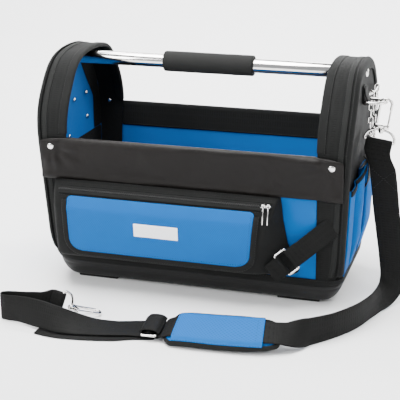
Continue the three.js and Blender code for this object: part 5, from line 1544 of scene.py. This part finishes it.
def make_strap():
    """Shoulder strap from hook to hook, its loose tail and the slider that joins them."""
    clipped = turn_round(CLIPPED.translation, EYE_WIRE / 2, CLIPPED.to_3x3() @ Z, Y, 18)[::-1]
    rows = [(p, -(CLIPPED.to_3x3() @ X)) for p in clipped]
    for k in range((len(ROUTE) - 1) * 6 + 1):
        centre, across, _, _ = strap_frame(k / 6)
        rows.append((centre, across))
    free_across = FREE_EYE.to_3x3() @ X
    toward = Vector((1, 0.1, 0))
    toward = (toward - free_across * toward.dot(free_across)).normalized()
    free = turn_round(FREE_EYE.translation, EYE_WIRE / 2, toward, toward.cross(free_across), 18)
    rows += [(p, free_across) for p in free]
    ribbon("shoulder_strap_web", rows, STRAP_WIDTH, STRAP_CLOTH - 0.1, ["shoulder_strap"])
    tail = [Vector((along * HALF_RIM, out * STRAP_REACH, FLOOR_GAP + 1)) for along, out in TAIL]
    ribbon("strap_tail_web", [(p, Y) for p in catmull(tail, 8)], STRAP_WIDTH, STRAP_CLOTH - 0.1,
           ["strap_tail"])

    centre, across, face, _ = strap_frame(SLIDER_ROW)
    seat = centre - face * (STRAP_CLOTH / 2 + GAP + 1.5)
    along = across.cross(face)
    turn = Matrix((along, across, face)).transposed()
    half_x, half_y = 10.5, STRAP_WIDTH / 2 + 1.4 + 1.5
    bm = bmesh.new()
    add_tube(bm, [seat + turn @ p for p in ring_path(half_x, half_y, 2.6)], 1.5, face, closed=True, sides=12)
    add_tube(bm, [seat + across * lerp(-half_y, half_y, k / 6) for k in range(7)], 1.5, face, sides=12)
    plate_turned("strap_slider_bars", bm, "strap_slider", sharp=45)
    fold = [(-14.5, 1.4), (-12.5, 2.6), (-9.5, 5.4), (-5, 6.6), (0, 7.0), (5, 6.6), (9.5, 5.4), (12.5, 2.6),
            (14.5, 1.4)]
    curve = catmull([seat + along * run + face * rise for run, rise in fold], 3)
    ribbon("slider_fold_web", [(p, across) for p in curve], STRAP_WIDTH - 0.6, 1.7)

    def near(rows_low, rows_high, side, lift):
        points = []
        for k in range(31):
            centre, across, face, _ = strap_frame(lerp(rows_low, rows_high, k / 30))
            points.append(centre + across * side + face * lift)
        return points

    front = strap_frame(31)[2]
    runs = [(near(30.2, 32.6, side, 1.15), lambda p: front) for side in (-16.5, 16.5)]
    hanging = strap_frame(1)[2]
    for side in (-16.5, 16.5):
        runs.append((near(0.2, 1.2, side, 1.15), lambda p: hanging))
    for low, high in ((0.2, 1.2), (1.2, 0.2)):
        points = []
        for k in range(21):
            centre, across, face, _ = strap_frame(lerp(low, high, k / 20))
            points.append(centre + across * lerp(-16, 16, k / 20) + face * 1.15)
        runs.append((points, lambda p: hanging))
    stitches("strap_stitches", runs)


def swell_pad(pad):
    """Cloth pressure swells the pad a little; no point moves further than the cap."""
    rest = [v.co.copy() for v in pad.data.vertices]
    cloth_sim = pad.modifiers.new("Swell", "CLOTH")
    settings = cloth_sim.settings
    settings.use_pressure = True
    settings.uniform_pressure_force = 4.0
    settings.effector_weights.gravity = 0.0
    settings.quality = 6
    scene = bpy.context.scene
    for number in range(1, 21):
        scene.frame_set(number)
    swollen = pad.evaluated_get(bpy.context.evaluated_depsgraph_get()).to_mesh()
    cap = 1.6 * MM
    moved = []
    for start, vertex in zip(rest, swollen.vertices):
        step = vertex.co - start
        moved.append(start + step * min(1.0, cap / max(step.length, 1e-9)))
    pad.evaluated_get(bpy.context.evaluated_depsgraph_get()).to_mesh_clear()
    pad.modifiers.remove(cloth_sim)
    scene.frame_set(1)
    for vertex, place in zip(pad.data.vertices, moved):
        vertex.co = place


def make_pad():
    """Shoulder pad with its bound edge, and the sleeve that holds it on the strap."""
    bm = bmesh.new()
    columns, ring = 40, 24

    def place(u, v, lift):
        share = lerp(0.02, 0.98, u)
        angle = 2 * math.pi * v
        half = max(pad_half(share) - 2.5, 3)
        side = math.copysign(abs(math.cos(angle)) ** 0.5, math.cos(angle)) * half
        rise = math.copysign(abs(math.sin(angle)) ** 0.5, math.sin(angle)) * 2.6
        return pad_point(share, side, PAD_TOP + PAD_THICKNESS / 2 - rise)

    surface(bm, columns, ring, place, (PAD_UV_LENGTH, 130), weld=True)
    loose = [e for e in bm.edges if e.is_boundary]
    bmesh.ops.holes_fill(bm, edges=loose, sides=0)
    bmesh.ops.recalc_face_normals(bm, faces=bm.faces)
    pad = to_object("strap_pad_core", bm)
    remesh = pad.modifiers.new("Even mesh", "REMESH")
    remesh.mode, remesh.voxel_size = "VOXEL", 2.4 * MM
    evaluated = pad.evaluated_get(bpy.context.evaluated_depsgraph_get())
    even = bpy.data.meshes.new_from_object(evaluated)
    pad.modifiers.clear()
    pad.data = even
    swell_pad(pad)
    soften(pad)
    finish_piece(pad, ["pad", "pad_under"], "bag", ["strap_pad"])
    face = strap_frame((PAD_START + PAD_END) / 2)[2]
    for polygon in pad.data.polygons:
        polygon.material_index = 0 if polygon.normal.dot(face) > -0.2 else 1

    bm = bmesh.new()
    add_tube(bm, pad_outline(2.6, PAD_TOP + PAD_THICKNESS / 2), 4.2, face, closed=True, sides=16, flat=0.6)
    edge = to_object("pad_binding_tape", bm)
    soften(edge)
    finish_piece(edge, ["tape"], "bag")

    half = [(26, -1.1), (23.5, -1.0), (21.2, 0.6), (19.6, 1.7), (10, 1.9)]
    section = [(-side, rise) for side, rise in half] + [(0, 2.0)] + half[::-1]

    def sleeve(u, v, lift):
        side, rise = section[round(v * (len(section) - 1))]
        share = lerp(0.16, 0.7, u)
        hem = 0.25 * (bump_at(u, 0.03, 0.05) + bump_at(u, 0.97, 0.05))
        return pad_point(share, side, -rise - hem - lift - 0.35)

    cloth("pad_sleeve_cloth", 44, len(section) - 1, sleeve, (72, 56), 1.0, ["blue"],
          ["pad_sleeve"])
    runs = [([pad_point(lerp(0.17, 0.69, k / 40), side, 0.4) for k in range(41)], lambda p: face)
            for side in (-24.8, 24.8)]
    runs += [([pad_point(share, lerp(-19, 19, k / 30), -2.35) for k in range(31)], lambda p: face)
             for share in (0.195, 0.665)]
    stitches("pad_stitches", runs)


# Settings, operators and panel

def length(label, value, note):
    return FloatProperty(name=label, description=note, default=value, min=0.0001, unit="LENGTH")


def colour(label, value, note):
    return FloatVectorProperty(name=label, description=note, default=value, min=0.0, max=1.0, size=3,
                               subtype="COLOR")


class ToolBagSizes(bpy.types.PropertyGroup):
    """Sizes that the looks are made with."""
    weave_pitch: length("Weave pitch", 0.0014, "Distance between the threads of the cloth")
    rib_pitch: length("Rib pitch", 0.0026, "Distance between the ribs of the webbing")
    stitch_length: length("Stitch length", 0.0026, "Length of one stitch")
    stitch_gap: length("Stitch gap", 0.0012, "Gap between two stitches")
    camera_distance: length("Camera distance", 1.7245, "From the camera to the middle of the bag")
    camera_azimuth: FloatProperty(name="Camera azimuth", description="Camera's turn round the bag",
                                  default=math.radians(16.7), subtype="ANGLE")
    camera_elevation: FloatProperty(name="Camera elevation", description="Camera's height as an angle",
                                    default=math.radians(17.8), subtype="ANGLE")


class ToolBagColours(bpy.types.PropertyGroup):
    """Base colours of the materials."""
    blue_cloth: colour("Blue cloth", (0.0, 0.092, 0.325), "Walls, flap and pockets")
    black_cloth: colour("Black cloth", (0.0065, 0.0068, 0.0065), "Bands, pocket sides and bindings")
    collar: colour("Collar", (0.0058, 0.0048, 0.0043), "Smooth cloth across the front rim")
    webbing: colour("Webbing", (0.0046, 0.0047, 0.0044), "Straps, loops and tabs")
    tray: colour("Tray", (0.0042, 0.0042, 0.0042), "Moulded tray")
    foam: colour("Foam", (0.0135, 0.0138, 0.0132), "Grip on the tube")
    plating: colour("Plating", (0.82, 0.8, 0.78), "Tube, rings, hooks and rivets")
    label: colour("Label", (0.95, 0.96, 0.98), "Blank patch on the flap")
    floor: colour("Floor", (0.9, 0.9, 0.9), "Floor under the bag")


def made_with(step):
    """Run a making function; an error in it is raised and stops the script."""
    if not finishes:
        make_finishes()
    step()
    return {"FINISHED"}


class TOOLBAG_OT_stage(bpy.types.Operator):
    """Floor, lights and camera round the bag"""
    bl_idname = "tool_bag.stage"
    bl_label = "Stage"
    bl_options = {"REGISTER", "UNDO"}

    def execute(self, context):
        return made_with(make_stage)


class TOOLBAG_OT_tray(bpy.types.Operator):
    """Moulded tray and the tape that binds the walls to it"""
    bl_idname = "tool_bag.tray"
    bl_label = "Tray"
    bl_options = {"REGISTER", "UNDO"}

    def execute(self, context):
        return made_with(make_tray)


class TOOLBAG_OT_walls(bpy.types.Operator):
    """Front and back walls, bands, end panels and their bindings"""
    bl_idname = "tool_bag.walls"
    bl_label = "Walls"
    bl_options = {"REGISTER", "UNDO"}

    def execute(self, context):
        return made_with(make_walls)


class TOOLBAG_OT_collar(bpy.types.Operator):
    """Smooth collar in front and the black band at the back"""
    bl_idname = "tool_bag.collar"
    bl_label = "Collar"
    bl_options = {"REGISTER", "UNDO"}

    def execute(self, context):
        return made_with(make_collar)


class TOOLBAG_OT_pocket(bpy.types.Operator):
    """Front pocket with its flap, blank label and zip"""
    bl_idname = "tool_bag.pocket"
    bl_label = "Front pocket"
    bl_options = {"REGISTER", "UNDO"}

    def execute(self, context):
        return made_with(make_pocket)


class TOOLBAG_OT_side_strap(bpy.types.Operator):
    """Short strap and ring beside the front pocket"""
    bl_idname = "tool_bag.side_strap"
    bl_label = "Compression strap"
    bl_options = {"REGISTER", "UNDO"}

    def execute(self, context):
        return made_with(make_side_strap)


class TOOLBAG_OT_end_pockets(bpy.types.Operator):
    """Pockets and webbing loops on both ends"""
    bl_idname = "tool_bag.end_pockets"
    bl_label = "End pockets"
    bl_options = {"REGISTER", "UNDO"}

    def execute(self, context):
        return made_with(make_end_pockets)


class TOOLBAG_OT_handle(bpy.types.Operator):
    """Plated tube, foam grip and screws"""
    bl_idname = "tool_bag.handle"
    bl_label = "Handle"
    bl_options = {"REGISTER", "UNDO"}

    def execute(self, context):
        return made_with(make_handle)


class TOOLBAG_OT_rivets(bpy.types.Operator):
    """Domed rivets on the collar and the left end"""
    bl_idname = "tool_bag.rivets"
    bl_label = "Rivets"
    bl_options = {"REGISTER", "UNDO"}

    def execute(self, context):
        return made_with(make_rivets)


class TOOLBAG_OT_rings(bpy.types.Operator):
    """Rings on their tabs, high on both ends"""
    bl_idname = "tool_bag.rings"
    bl_label = "Rings"
    bl_options = {"REGISTER", "UNDO"}

    def execute(self, context):
        return made_with(make_rings)


class TOOLBAG_OT_chain(bpy.types.Operator):
    """Chain of oval links and its hanger"""
    bl_idname = "tool_bag.chain"
    bl_label = "Tape chain"
    bl_options = {"REGISTER", "UNDO"}

    def execute(self, context):
        return made_with(make_chain)


class TOOLBAG_OT_hooks(bpy.types.Operator):
    """Swivel eyes, hooks and gates of the strap"""
    bl_idname = "tool_bag.hooks"
    bl_label = "Snap hooks"
    bl_options = {"REGISTER", "UNDO"}

    def execute(self, context):
        return made_with(make_hooks)


class TOOLBAG_OT_strap(bpy.types.Operator):
    """Shoulder strap, its tail and its slider"""
    bl_idname = "tool_bag.strap"
    bl_label = "Shoulder strap"
    bl_options = {"REGISTER", "UNDO"}

    def execute(self, context):
        return made_with(make_strap)


class TOOLBAG_OT_pad(bpy.types.Operator):
    """Soft pad and its sleeve on the shoulder strap"""
    bl_idname = "tool_bag.pad"
    bl_label = "Shoulder pad"
    bl_options = {"REGISTER", "UNDO"}

    def execute(self, context):
        return made_with(make_pad)


OPERATORS = (
    TOOLBAG_OT_stage, TOOLBAG_OT_tray, TOOLBAG_OT_walls, TOOLBAG_OT_collar, TOOLBAG_OT_pocket,
    TOOLBAG_OT_side_strap, TOOLBAG_OT_end_pockets, TOOLBAG_OT_handle, TOOLBAG_OT_rivets, TOOLBAG_OT_rings,
    TOOLBAG_OT_chain, TOOLBAG_OT_hooks, TOOLBAG_OT_strap, TOOLBAG_OT_pad,
)


class TOOLBAG_PT_panel(bpy.types.Panel):
    """Sizes, colours and pieces of the tool bag"""
    bl_idname = "TOOLBAG_PT_panel"
    bl_label = "Tool bag"
    bl_space_type = "VIEW_3D"
    bl_region_type = "UI"
    bl_category = "Tool bag"

    def draw(self, context):
        for settings in (context.scene.tool_bag_sizes, context.scene.tool_bag_colours):
            box = self.layout.box()
            for key in settings.__annotations__:
                box.prop(settings, key)
        for operator in OPERATORS:
            self.layout.operator(operator.bl_idname)


CLASSES = (ToolBagSizes, ToolBagColours, *OPERATORS, TOOLBAG_PT_panel)


def register():
    for item in CLASSES:
        bpy.utils.register_class(item)
    bpy.types.Scene.tool_bag_sizes = PointerProperty(type=ToolBagSizes)
    bpy.types.Scene.tool_bag_colours = PointerProperty(type=ToolBagColours)


def unregister():
    del bpy.types.Scene.tool_bag_sizes
    del bpy.types.Scene.tool_bag_colours
    for item in reversed(CLASSES):
        bpy.utils.unregister_class(item)


def main():
    register()
    for operator in OPERATORS:
        group, name = operator.bl_idname.split(".")
        getattr(getattr(bpy.ops, group), name)()


if __name__ == "__main__":
    main()
